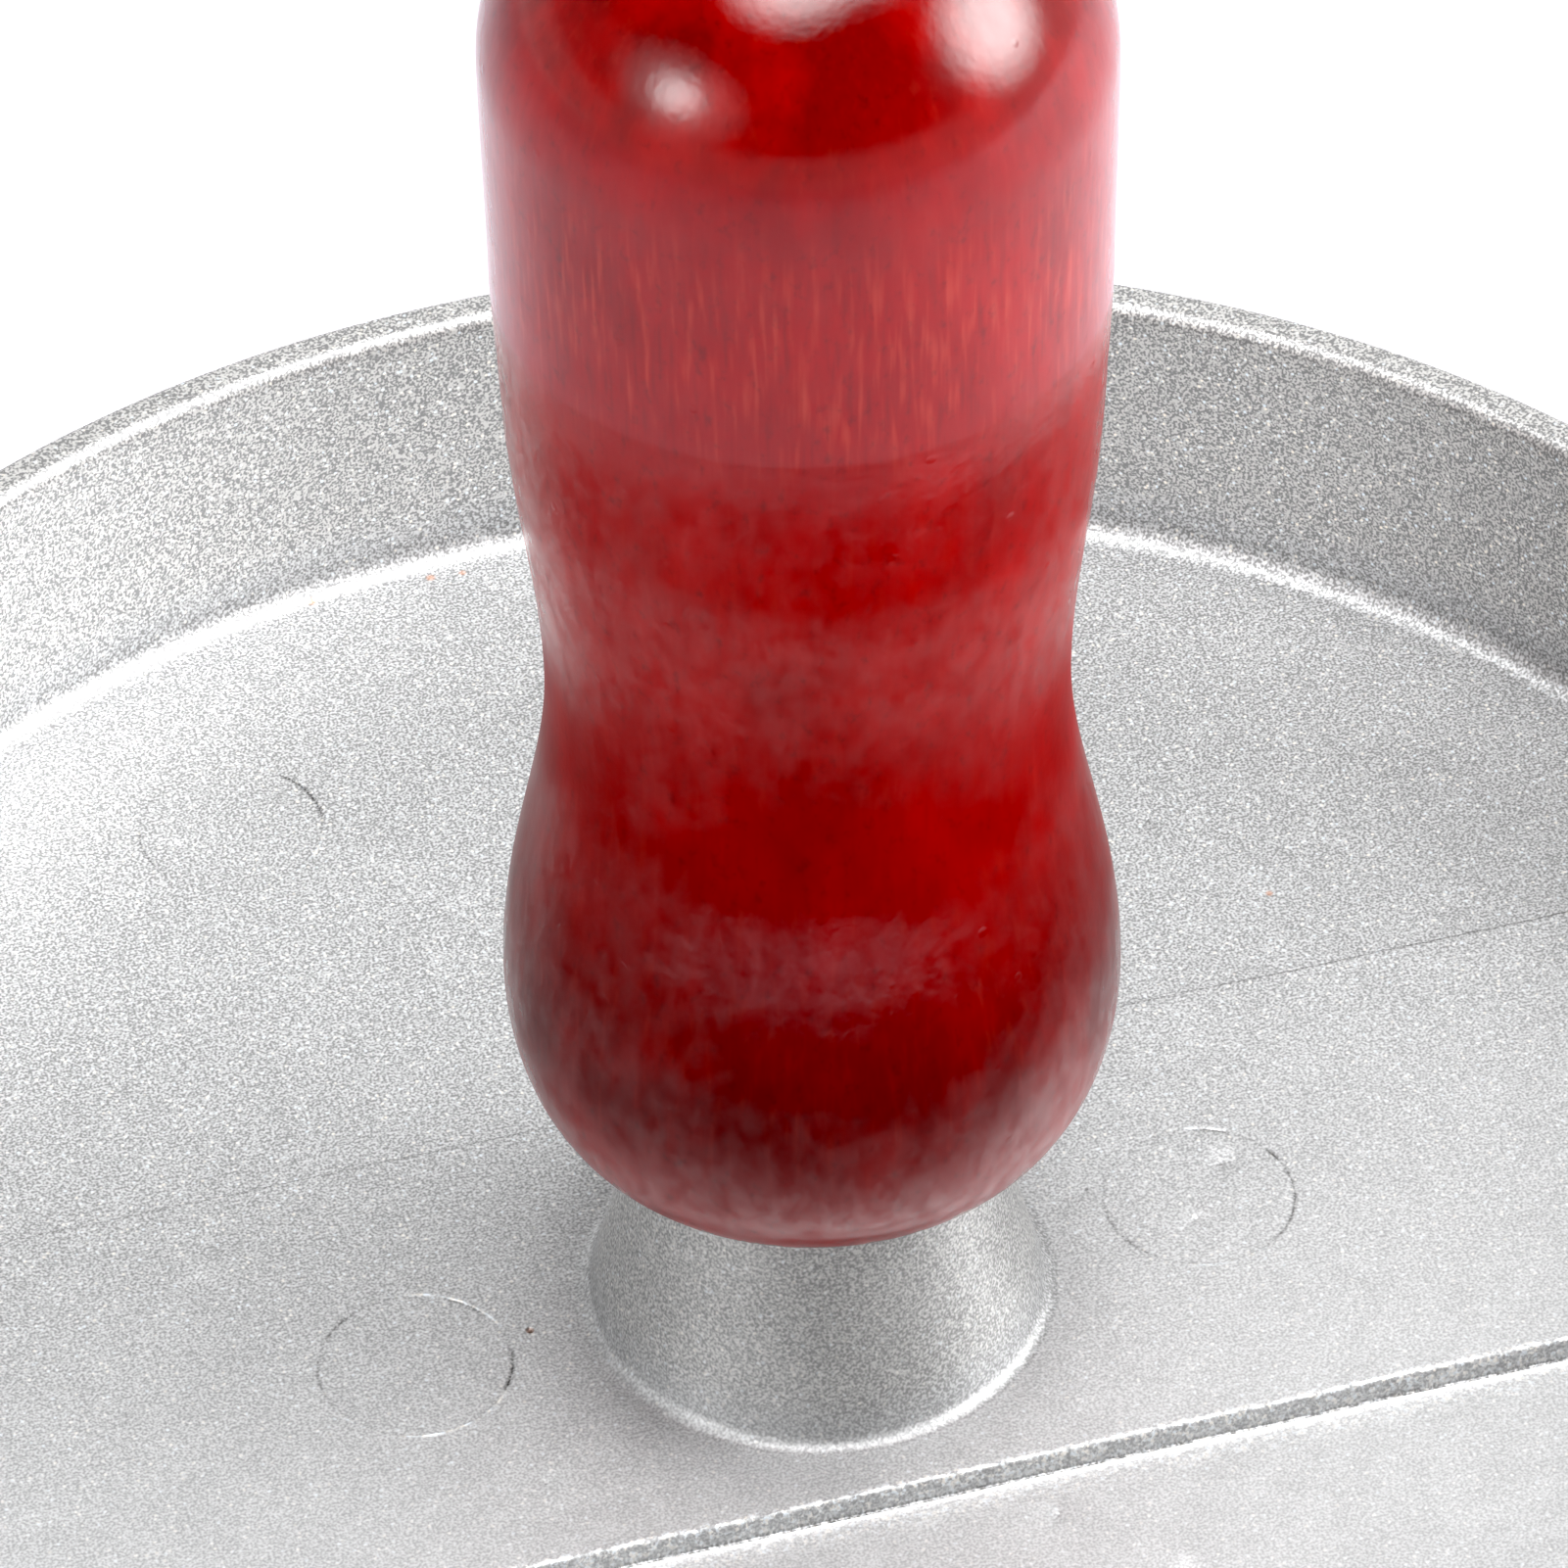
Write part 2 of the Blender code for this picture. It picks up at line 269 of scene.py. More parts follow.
@dataclass(frozen=True)
class SparkleCoating:
    """The silver sparkle coating on the castings: fine bright flakes in a cool grey film.

    The flakes' contrast grows from the front to the back, and the film is painted warmer on the raised parts
    as painted warm light. Marks paint shade, with some soil, and highlights on edges and beads into it.
    """

    name: str
    light: Colour = (0.667, 0.673, 0.680)
    painted_warm_film: Colour = (0.680, 0.674, 0.662)
    dark: Colour = (0.29, 0.291, 0.293)
    warm: Colour = (1.00, 0.95, 0.87)
    cool: Colour = (0.87, 0.94, 1.00)
    soil_and_shade: Colour = (0.045, 0.043, 0.040)
    rust: Colour = (0.62, 0.22, 0.06)
    metallic: float = 0.85
    flake: float = 0.13 * MM
    blotch: float = 1.4 * MM
    cloud: float = 20.0 * MM
    bead: float = 0.26 * MM
    spark_spacing: float = 3.4
    tint_spacing: float = 2.2
    grain_spacing: float = 1.7
    front_to_back: Band = (-20.0 * MM, 40.0 * MM)
    contrast: Band = (0.48, 1.55)
    raised_part: Band = (11.3 * MM, 13.8 * MM)
    raised_contrast: float = 0.30
    spark_strength: float = 0.55
    blotch_drift: float = 0.03
    cloud_drift: float = 0.02
    roughness: float = 0.52
    roughness_drift: float = 0.02
    depth: float = 0.012 * MM

    def material(self) -> Material:
        """Builds the material.

        Returns:
            The coating.
        """
        sheet = ShaderSheet(self.name)
        flakes = sheet.noise(self.flake, detail=0.5)
        blotches = sheet.noise(self.blotch, shift=0.31)
        clouds = sheet.noise(self.cloud, shift=0.77)
        _, back, height = sheet.add("ShaderNodeSeparateXYZ", {0: sheet.place}).outputs
        raised = sheet.ramp(height, *self.raised_part)
        bite = sheet.ramp(back, *self.front_to_back, *self.contrast)
        bite = sheet.times(bite, sheet.plus(1.0, sheet.times(raised, self.raised_contrast)))
        tone = sheet.plus(sheet.times(sheet.sway(flakes, 0.22, 0.78, 0.5), bite), 0.5)
        drift = sheet.plus(
            sheet.sway(blotches, 0.3, 0.7, self.blotch_drift), sheet.sway(clouds, 0.3, 0.7, self.cloud_drift)
        )
        share = sheet.plus(tone, drift)
        # painted warm light: the film turns warmer on the raised parts
        film = sheet.mix(share, self.dark, sheet.mix(raised, self.light, self.painted_warm_film))
        # painted glints on the lip's beads
        beads = sheet.times(sheet.mark("bead"), sheet.ramp(sheet.noise(self.bead, shift=0.4), 0.48, 0.62))
        spots = sheet.cells(self.flake * self.spark_spacing, 0.08, 0.30)
        sparks = sheet.times(spots, sheet.times(bite, self.spark_strength))
        # painted highlight: the edge mark and the bead glints take the bright flake colour
        painted_sheen = sheet.math("MAXIMUM", sheet.mark("edge"), beads)
        tints = sheet.ramp(sheet.noise(self.flake * self.tint_spacing, shift=0.5), 0.42, 0.58)
        clean = sheet.mix(sheet.math("MAXIMUM", sparks, painted_sheen), film, sheet.mix(tints, self.warm, self.cool))
        # painted shade, with some soil in the flaws: this mark darkens the coating in creases, grooves, pits,
        # on the boss and on the rim
        shaded_and_soiled = sheet.times(sheet.mark("soil_and_shade"), sheet.ramp(flakes, 0.35, 0.75, 1.15, 0.55))
        shaded_and_soiled = sheet.times(shaded_and_soiled, sheet.minus(1.0, painted_sheen))
        colour = sheet.mix(shaded_and_soiled, sheet.mix(sheet.mark("rust"), clean, self.rust), self.soil_and_shade)
        gloss = sheet.sway(blotches, 0.2, 0.8, self.roughness_drift, self.roughness)
        normal = sheet.bump(sheet.noise(self.flake * self.grain_spacing, shift=0.13), self.depth)
        return sheet.surface(
            {"Base Color": colour, "Metallic": self.metallic, "Roughness": gloss, "Normal": normal}
        )


@dataclass(frozen=True)
class RedVarnish:
    """Deep red stained wood under gloss varnish, with painted light and shade; every band is a stretch of the
    handle's height.
    """

    name: str
    deep: Colour = (0.050, 0.0003, 0.0005)
    bright: Colour = (0.23, 0.0010, 0.0010)
    pale: Colour = (0.34, 0.0024, 0.0018)
    streak: Colour = (0.46, 0.050, 0.026)
    pore: Colour = (0.030, 0.0006, 0.0010)
    painted_light_rise: Band = (0.026, 0.060)
    painted_crown_shade: Band = (0.078, 0.090)
    evening: Band = (0.036, 0.062)
    painted_light_foot: Band = (0.025, 0.034)
    painted_sheen_from: Band = (0.0685, 0.0725)
    painted_sheen_to: Band = (0.077, 0.083)
    level_from: Band = (0.066, 0.071)
    rubbed_from: Band = (0.0425, 0.0470)
    rubbed_to: Band = (0.0500, 0.0630)
    bulb_from: Band = (0.033, 0.038)
    bulb_to: Band = (0.048, 0.054)
    waist_from: Band = (0.050, 0.056)
    thin: float = 0.50
    full: float = 0.90
    level: float = 0.80
    rubbed: float = 0.50
    thumbed: float = 0.62
    gloss: float = 0.15
    haze: float = 0.36
    specular: float = 0.03
    wave_depth: float = 0.014 * MM
    bubble_depth: float = 0.010 * MM
    peel_depth: float = 0.006 * MM
    fibre_depth: float = 0.003 * MM
    ring_depth: float = 0.0015 * MM

    @staticmethod
    def facing(sheet: ShaderSheet) -> Socket:
        """How far the surface turns away from the eye, for the gloss alone."""
        return sheet.add("ShaderNodeLayerWeight", {"Blend": 0.5}).outputs["Facing"]

    def stained(self, sheet: ShaderSheet, height: Socket, fibres: Socket) -> Socket:
        """The wood's colour: uneven stain with painted light up the barrel and painted shade at the crown,
        grain streaks painted lighter as a painted reflection where the floor is reflected, and dark pores.

        Args:
            sheet: The material's tree.
            height: The height over the worktop.
            fibres: The noise along the grain.

        Returns:
            The colour.
        """
        mottle = sheet.noise(4.2 * MM, detail=3.0, stretch=(1, 1, 1.6))
        patches = sheet.noise(5.0 * MM, detail=4.0, stretch=(1, 1, 1.8), shift=1.7)
        speckle = sheet.noise(0.5 * MM, detail=3.0, stretch=(1, 1, 1.5), shift=0.9)
        # painted light: the stain is painted brighter up the barrel and painted darker again at the crown
        painted_light_share = sheet.ramp(height, *self.painted_light_rise)
        painted_light_share = sheet.times(painted_light_share, sheet.ramp(height, *self.painted_crown_shade, 1.0, 0.30))
        stain = sheet.mix(painted_light_share, self.deep, self.bright)
        uneven = sheet.ramp(height, *self.evening, 0.40, 1.0)
        lit = sheet.mix(sheet.times(sheet.ramp(mottle, 0.25, 0.75, -0.25, 0.40), uneven), stain, self.pale)
        # painted light: the foot of the handle is painted paler
        foot = sheet.mix(sheet.ramp(height, *self.painted_light_foot, 0.55, 0.0), lit, self.pale)
        body = sheet.mix(sheet.times(sheet.ramp(patches, 0.50, 0.80, 0.0, 0.36), uneven), foot, self.deep)
        # painted reflection over real grain: the streaks are painted lighter in the band where the floor is
        # reflected
        painted_sheen = sheet.times(sheet.ramp(height, *self.painted_sheen_from), sheet.ramp(height, *self.painted_sheen_to, 1.0, 0.0))
        opened = sheet.plus(sheet.times(painted_sheen, 0.34), 0.05)
        streaked = sheet.mix(sheet.times(sheet.ramp(fibres, 0.48, 0.82), opened), body, self.streak)
        closed = sheet.plus(sheet.times(painted_sheen, 0.14), 0.08)
        grained = sheet.mix(sheet.times(sheet.ramp(fibres, 0.46, 0.24), closed), streaked, self.pore)
        return sheet.mix(sheet.ramp(speckle, 0.54, 0.82, 0.0, 0.40), grained, self.pore)

    def relief(self, sheet: ShaderSheet, fibres: Socket) -> Socket:
        """The film's surface: turning rings, slow waves, orange peel, bubbles and raised fibres.

        Args:
            sheet: The material's tree.
            fibres: The noise along the grain.

        Returns:
            The normal.
        """
        rings = sheet.noise(0.8 * MM, stretch=(60, 60, 1), shift=0.2)
        orange_peel = sheet.noise(0.52 * MM, detail=1.0, shift=0.6)
        waves = sheet.noise(3.0 * MM, detail=1.0, shift=0.8)
        normal = sheet.bump(rings, self.ring_depth)
        normal = sheet.bump(waves, self.wave_depth, normal)
        normal = sheet.bump(orange_peel, self.peel_depth, normal)
        normal = sheet.bump(sheet.cells(3.0 * MM, 0.03, 0.09), self.bubble_depth, normal)
        return sheet.bump(fibres, self.fibre_depth, normal)

    def lacquer(self, sheet: ShaderSheet, height: Socket) -> Socket:
        """How much gloss film is left: rubbed off round the waist and dulled by the thumb on the bulb.

        Args:
            sheet: The material's tree.
            height: The height over the worktop.

        Returns:
            The share, from 0 to 1.
        """
        strokes = sheet.noise(0.9 * MM, detail=3.0, stretch=(1, 1, 1.6), shift=2.3)
        unlevel = sheet.ramp(height, *self.level_from, self.thin, self.level)
        rubbed = sheet.ramp(height, *self.rubbed_from, 1.0, self.rubbed)
        rubbed = sheet.plus(rubbed, sheet.ramp(height, *self.rubbed_to, 0.0, 1.0 - self.rubbed))
        bulb = sheet.times(sheet.ramp(height, *self.bulb_from), sheet.ramp(height, *self.bulb_to, 1.0, 0.0))
        turned = self.facing(sheet)
        thumbed = sheet.times(bulb, sheet.ramp(turned, 0.36, 0.80, 0.0, self.thumbed))
        grazed = sheet.times(sheet.ramp(turned, 0.45, 0.75), sheet.ramp(height, *self.waist_from))
        kept = sheet.times(sheet.minus(1.0, rubbed), grazed)
        left = sheet.minus(sheet.plus(rubbed, kept), thumbed)
        return sheet.times(sheet.ramp(strokes, 0.28, 0.72, unlevel, self.full), left)

    def material(self) -> Material:
        """Builds the material.

        Returns:
            The varnished wood.
        """
        sheet = ShaderSheet(self.name)
        height = sheet.add("ShaderNodeSeparateXYZ", {0: sheet.place}).outputs[2]
        fibres = sheet.noise(0.36 * MM, detail=1.5, stretch=(1, 1, 9), shift=0.4)
        normal = self.relief(sheet, fibres)
        return sheet.surface(
            {
                "Base Color": self.stained(sheet, height, fibres),
                "Roughness": self.haze,
                "Specular IOR Level": self.specular,
                "Normal": normal,
                "Coat Weight": self.lacquer(sheet, height),
                "Coat Roughness": self.gloss,
                "Coat IOR": 1.5,
                "Coat Normal": normal,
            }
        )


@dataclass(frozen=True)
class RawWood:
    """The bare beech inside the handle's hole."""

    name: str
    light: Colour = (0.58, 0.40, 0.24)
    dark: Colour = (0.38, 0.22, 0.11)
    grain: float = 0.6 * MM
    roughness: float = 0.75
    depth: float = 0.04 * MM

    def material(self) -> Material:
        """Builds the material.

        Returns:
            The bare wood.
        """
        sheet = ShaderSheet(self.name)
        grain = sheet.noise(self.grain, detail=3.0, stretch=(1, 1, 10))
        colour = sheet.mix(sheet.ramp(grain, 0.3, 0.7), self.dark, self.light)
        normal = sheet.bump(grain, self.depth)
        return sheet.surface({"Base Color": colour, "Roughness": self.roughness, "Normal": normal})


@dataclass(frozen=True)
class TurnedMetal:
    """Bare turned metal, with fine rings round the axis."""

    name: str
    light: Colour
    dark: Colour
    roughness: float = 0.28
    ring: float = 0.25 * MM
    smear: float = 1.6 * MM
    depth: float = 0.006 * MM

    def material(self) -> Material:
        """Builds the material.

        Returns:
            The metal.
        """
        sheet = ShaderSheet(self.name)
        rings = sheet.noise(self.ring, stretch=(30, 30, 1))
        smears = sheet.noise(self.smear, detail=3.0, shift=0.5)
        colour = sheet.mix(sheet.ramp(smears, 0.3, 0.7), self.dark, self.light)
        gloss = sheet.ramp(smears, 0.2, 0.8, self.roughness - 0.08, self.roughness + 0.10)
        normal = sheet.bump(rings, self.depth)
        return sheet.surface({"Base Color": colour, "Metallic": 1.0, "Roughness": gloss, "Normal": normal})


class GrowthTree(NodeSheet):
    """A Geometry Nodes tree with named inputs for its sizes, run once and turned into a plain mesh."""

    FIELDS = {float: "NodeSocketFloat", int: "NodeSocketInt", Material: "NodeSocketMaterial"}

    def __init__(self, name: str, inputs: dict[str, Any]) -> None:
        """Makes the tree, with one socket for each input.

        Args:
            name: The tree's name.
            inputs: The value of each named input.
        """
        tree = bpy.data.node_groups.new(name, "GeometryNodeTree")
        super().__init__(tree)
        self.values = inputs
        self.sockets: dict[str, Any] = {}
        for label, value in inputs.items():
            kind = next(kind for given, kind in self.FIELDS.items() if isinstance(value, given))
            self.sockets[label] = tree.interface.new_socket(label, in_out="INPUT", socket_type=kind)
        tree.interface.new_socket("Geometry", in_out="OUTPUT", socket_type="NodeSocketGeometry")
        self.entry = self.add("NodeGroupInput")

    def given(self, label: str) -> Socket:
        """The socket of a named input."""
        return self.entry.outputs[label]

    def make(self, kind: str, inputs: Optional[Inputs] = None, **settings: Any) -> Socket:
        """Adds a node, as add does, and returns its first output."""
        return self.add(kind, inputs, **settings).outputs[0]

    def join(self, x: Feed, y: Feed, z: Feed) -> Socket:
        """A vector of three values."""
        return self.make("ShaderNodeCombineXYZ", {0: x, 1: y, 2: z})

    def choose(self, index: Feed, options: Sequence[Feed]) -> Socket:
        """Picks one of several values by its number.

        Args:
            index: The number, from 0.
            options: The values.

        Returns:
            The value picked.
        """
        node = self.add("GeometryNodeIndexSwitch", data_type="FLOAT")
        while len(node.index_switch_items) < len(options):
            node.index_switch_items.new()
        for number, value in enumerate((index, *options)):
            self.feed(node.inputs[number], value)
        return node.outputs[0]

    def grow(self, name: str, shape: Socket) -> Mesh:
        """Ends the tree in Realize Instances and Set Material, and runs it on an empty mesh.

        Args:
            name: The name of the mesh that it makes.
            shape: The geometry that the tree makes.

        Returns:
            A plain mesh.
        """
        real = self.make("GeometryNodeRealizeInstances", {0: shape})
        coated = {"Geometry": real, "Material": self.given("Material")}
        self.add("NodeGroupOutput", {0: self.make("GeometryNodeSetMaterial", coated)})
        host = add_object(name, bpy.data.meshes.new(name))
        modifier = host.modifiers.new(name, "NODES")
        modifier.node_group = self.tree
        for label, value in self.values.items():
            modifier[self.sockets[label].identifier] = value
        graph = bpy.context.evaluated_depsgraph_get()
        mesh = bpy.data.meshes.new_from_object(host.evaluated_get(graph))
        mesh.name = name
        host.modifiers.remove(modifier)
        bpy.data.objects.remove(host, do_unlink=True)
        return mesh


def add_object(name: str, data: bpy.types.ID) -> bpy.types.Object:
    """Adds an object to the scene.

    Args:
        name: Its name.
        data: Its mesh, light or camera.

    Returns:
        The object.
    """
    made = bpy.data.objects.new(name, data)
    bpy.context.scene.collection.objects.link(made)
    return made


def recalculate(mesh: Mesh) -> None:
    """Welds the doubles of a closed mesh and turns its faces outwards.

    Args:
        mesh: The mesh.
    """
    work = bmesh.new()
    work.from_mesh(mesh)
    bmesh.ops.remove_doubles(work, verts=work.verts, dist=WELD)
    bmesh.ops.recalc_face_normals(work, faces=work.faces)
    work.to_mesh(mesh)
    work.free()


def weld(name: str, parts: Sequence[tuple[Mesh, Material]]) -> Mesh:
    """Joins meshes that share an edge ring into one closed mesh.

    Args:
        name: The name of the joined mesh.
        parts: The meshes, each with its material.

    Returns:
        The closed mesh, with its faces outwards.
    """
    joined = bpy.data.meshes.new(name)
    work = bmesh.new()
    for number, (part, material) in enumerate(parts):
        before = len(work.faces)
        work.from_mesh(part)
        work.faces.ensure_lookup_table()
        for face in work.faces[before:]:
            face.material_index = number
        joined.materials.append(material)
    bmesh.ops.remove_doubles(work, verts=work.verts, dist=10 * WELD)
    bmesh.ops.recalc_face_normals(work, faces=work.faces)
    work.to_mesh(joined)
    work.free()
    return joined


def place_piece(mesh: Mesh, name: str, body: Body, slot: str, stands_for: Iterable[str]) -> None:
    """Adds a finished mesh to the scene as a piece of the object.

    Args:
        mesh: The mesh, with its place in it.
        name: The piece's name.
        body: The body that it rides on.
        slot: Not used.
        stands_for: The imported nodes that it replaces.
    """
    mesh.name = name
    mesh.shade_smooth()
    mesh.set_sharp_from_angle(angle=SMOOTH_ANGLE)
    piece = add_object(name, mesh)
    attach(piece, body.value)
    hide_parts(*stands_for)
    LOG.info("%s: %d faces on %s", name, len(mesh.polygons), body.value)


def arc(centre: Point, radius: float, start: float, end: float, steps: int = 6) -> list[Point]:
    """Points (radius, height) along an arc from one angle in degrees to another, both ends included."""
    angles = [math.radians(start + (end - start) * step / steps) for step in range(steps + 1)]
    return [(centre[0] + radius * math.cos(a), centre[1] + radius * math.sin(a)) for a in angles]


def run(first: Point, last: Point, steps: int) -> list[Point]:
    """Points that part the way between two profile points into steps, without either end."""
    shares = [step / steps for step in range(1, steps)]
    return [(first[0] + (last[0] - first[0]) * s, first[1] + (last[1] - first[1]) * s) for s in shares]


class Shell:
    """Corners and faces of a mesh in the making, and the marks on its corners."""

    def __init__(self) -> None:
        """Starts with nothing."""
        self.corners: list[tuple[float, float, float]] = []
        self.faces: list[tuple[int, ...]] = []
        self.stains: dict[str, dict[int, float]] = {}

    def stain(self, name: str, corner: int, amount: float) -> None:
        """Marks a corner with soil and painted shade, rust, painted edge highlights or bead glints, as
        strongly as the amount says.
        """
        if amount > 0:
            self.stains.setdefault(name, {})[corner] = min(1.0, amount)

    def ring(self, radius: float, heights: Sequence[float]) -> list[int]:
        """Adds a ring of corners.

        Args:
            radius: The ring's radius.
            heights: The height of each corner.

        Returns:
            The corners' numbers.
        """
        start = len(self.corners)
        count = len(heights)
        for number, height in enumerate(heights):
            angle = 2 * math.pi * number / count
            self.corners.append((radius * math.cos(angle), radius * math.sin(angle), height))
        return list(range(start, start + count))

    def band(self, lower: Sequence[int], upper: Sequence[int]) -> None:
        """Closes the band between two rings of the same count.

        Args:
            lower: The first ring.
            upper: The second ring.
        """
        for number, corner in enumerate(lower):
            beside = (number + 1) % len(lower)
            self.faces.append((corner, lower[beside], upper[beside], upper[number]))

    def close(self, ring: Sequence[int], height: float) -> None:
        """Closes a ring with a fan to its centre.

        Args:
            ring: The ring.
            height: The centre's height.
        """
        centre = len(self.corners)
        self.corners.append((0.0, 0.0, height))
        for number, corner in enumerate(ring):
            self.faces.append((corner, ring[(number + 1) % len(ring)], centre))

    def turn(self, profile: Sequence[Point], sides: int, start: Sequence[int] = ()) -> list[int]:
        """Turns an open profile round the axis.

        Args:
            profile: Points (radius, height); one on the axis ends it.
            sides: The number of sides.
            start: A ring to start from.

        Returns:
            The last ring.
        """
        last = list(start)
        for radius, height in profile:
            if radius <= 0:
                self.close(last, height)
                continue
            ring = self.ring(radius, [height] * sides)
            if last:
                self.band(last, ring)
            last = ring
        return last

    def turn_whole(self, profile: Sequence[Point], sides: int) -> None:
        """Turns a profile that runs back to its own start, such as a washer's."""
        last = self.turn(profile, sides)
        self.band(last, list(range(sides)))

    def mesh(self, name: str, material: Material) -> Mesh:
        """Makes the mesh, with its faces outwards.

        Args:
            name: The mesh's name.
            material: Its material.

        Returns:
            The mesh.
        """
        mesh = bpy.data.meshes.new(name)
        mesh.from_pydata(self.corners, [], self.faces)
        mesh.materials.append(material)
        for stain, amounts in self.stains.items():
            layer = mesh.attributes.new(stain, "FLOAT", "POINT")
            layer.data.foreach_set("value", [amounts.get(corner, 0.0) for corner in range(len(self.corners))])
        recalculate(mesh)
        return mesh


@dataclass
class GrillBars:
    """Parallel bars along X that end on a circle, on the face of a casting.

    Known fault: the sweep lays the section's height along -Z, so the bars run into the casting instead
    of out of it and don't show. Turning the sign of Side in the last Transform would bring them out.
    """

    name: str
    body: Body
    stands_for: str
    slot: str
    side: Side
    root: float
    reach: float
    width: float = 3.6 * MM
    height: float = 1.2 * MM
    draft: float = 0.4 * MM
    pitch: float = 9.0 * MM
    end_round: float = 2.0 * MM
    tip_fillet: float = 0.35 * MM
    sink: float = 0.4 * MM
    step: float = 0.5 * MM

    def inputs(self, material: Material) -> dict[str, Any]:
        """The tree's named inputs.

        Args:
            material: The casting's coating.

        Returns:
            Each input's value.
        """
        return {
            "Bars per Side": int((self.reach - self.width / 2) / self.pitch),
            "Pitch": self.pitch,
            "Reach": self.reach,
            "Root Width": self.width,
            "Tip Width": self.width - 2 * self.draft,
            "Height": self.height + self.sink,
            "Root Height": self.root - self.sink * self.side.value,
            "Side": self.side.value,
            "End Round": self.end_round,
            "Tip Fillet": self.tip_fillet,
            "Step": self.step,
            "Material": material,
        }

    @staticmethod
    def spines(tree: GrowthTree) -> Socket:
        """Lays one straight line for each bar, as long as the circle lets it be.

        Args:
            tree: The bars' tree.

        Returns:
            The lines, divided into steps.
        """
        given, make = tree.given, tree.make
        count = tree.plus(tree.times(given("Bars per Side"), 2.0), 1.0)
        first = tree.times(tree.times(given("Bars per Side"), given("Pitch")), -1.0)
        start, offset = tree.join(0.0, first, 0.0), tree.join(0.0, given("Pitch"), 0.0)
        rows = make("GeometryNodeMeshLine", {"Count": count, "Start Location": start, "Offset": offset})
        place = tree.add("ShaderNodeSeparateXYZ", {0: make("GeometryNodeInputPosition")})
        corner = tree.plus(tree.math("ABSOLUTE", place.outputs[1]), tree.times(given("Root Width"), 0.5))
        squares = tree.minus(tree.math("POWER", given("Reach"), 2.0), tree.math("POWER", corner, 2.0))
        scale = tree.join(tree.math("SQRT", squares), 1.0, 1.0)
        unit = make("GeometryNodeCurvePrimitiveLine", {"Start": (-1.0, 0.0, 0.0), "End": (1.0, 0.0, 0.0)})
        placed = make("GeometryNodeInstanceOnPoints", {"Points": rows, "Instance": unit, "Scale": scale})
        lines = make("GeometryNodeRealizeInstances", {0: placed})
        return make("GeometryNodeResampleCurve", {"Curve": lines, "Length": given("Step")}, mode="LENGTH")

    @staticmethod
    def end_taper(tree: GrowthTree) -> Socket:
        """The bar's size along its line: full, and rounded off towards both ends.

        Args:
            tree: The bars' tree.

        Returns:
            The share of the full size.
        """
        along = tree.add("GeometryNodeSplineParameter").outputs["Length"]
        whole = tree.make("GeometryNodeSplineLength")
        to_end = tree.math("MINIMUM", along, tree.minus(whole, along))
        into = tree.math("MINIMUM", tree.math("DIVIDE", to_end, tree.given("End Round")), 1.0)
        near = tree.math("POWER", tree.minus(1.0, into), 2.0)
        return tree.math("SQRT", tree.minus(1.02, near))

    @staticmethod
    def section(tree: GrowthTree) -> Socket:
        """The bar's section: a trapezoid with rounded corners, standing on its root.

        Args:
            tree: The bars' tree.

        Returns:
            The closed curve.
        """
        given, make = tree.given, tree.make
        sizes = {
            "Height": given("Height"),
            "Bottom Width": given("Root Width"),
            "Top Width": given("Tip Width"),
            "Offset": 0.0,
        }
        drawn = make("GeometryNodeCurvePrimitiveQuadrilateral", sizes, mode="TRAPEZOID")
        fillet = {"Curve": drawn, "Radius": given("Tip Fillet"), "Count": 3, "Limit Radius": True}
        softened = make("GeometryNodeFilletCurve", fillet, mode="POLY")
        lift = tree.join(0.0, tree.times(given("Height"), 0.5), 0.0)
        return make("GeometryNodeTransform", {"Geometry": softened, "Translation": lift})

    def build(self, material: Material) -> None:
        """Makes the bars.

        Args:
            material: The casting's coating.
        """
        tree = GrowthTree(self.name, self.inputs(material))
        taper = self.end_taper(tree)
        lines = tree.make("GeometryNodeSetCurveRadius", {"Curve": self.spines(tree), "Radius": taper})
        swept = tree.make(
            "GeometryNodeCurveToMesh",
            {"Curve": lines, "Profile Curve": self.section(tree), "Scale": taper, "Fill Caps": True},
        )
        lift, flip = tree.join(0.0, 0.0, tree.given("Root Height")), tree.join(1.0, 1.0, tree.given("Side"))
        stood = tree.make("GeometryNodeTransform", {"Geometry": swept, "Translation": lift, "Scale": flip})
        mesh = tree.grow(self.name, stood)
        recalculate(mesh)
        place_piece(mesh, self.name, self.body, self.slot, [self.stands_for])


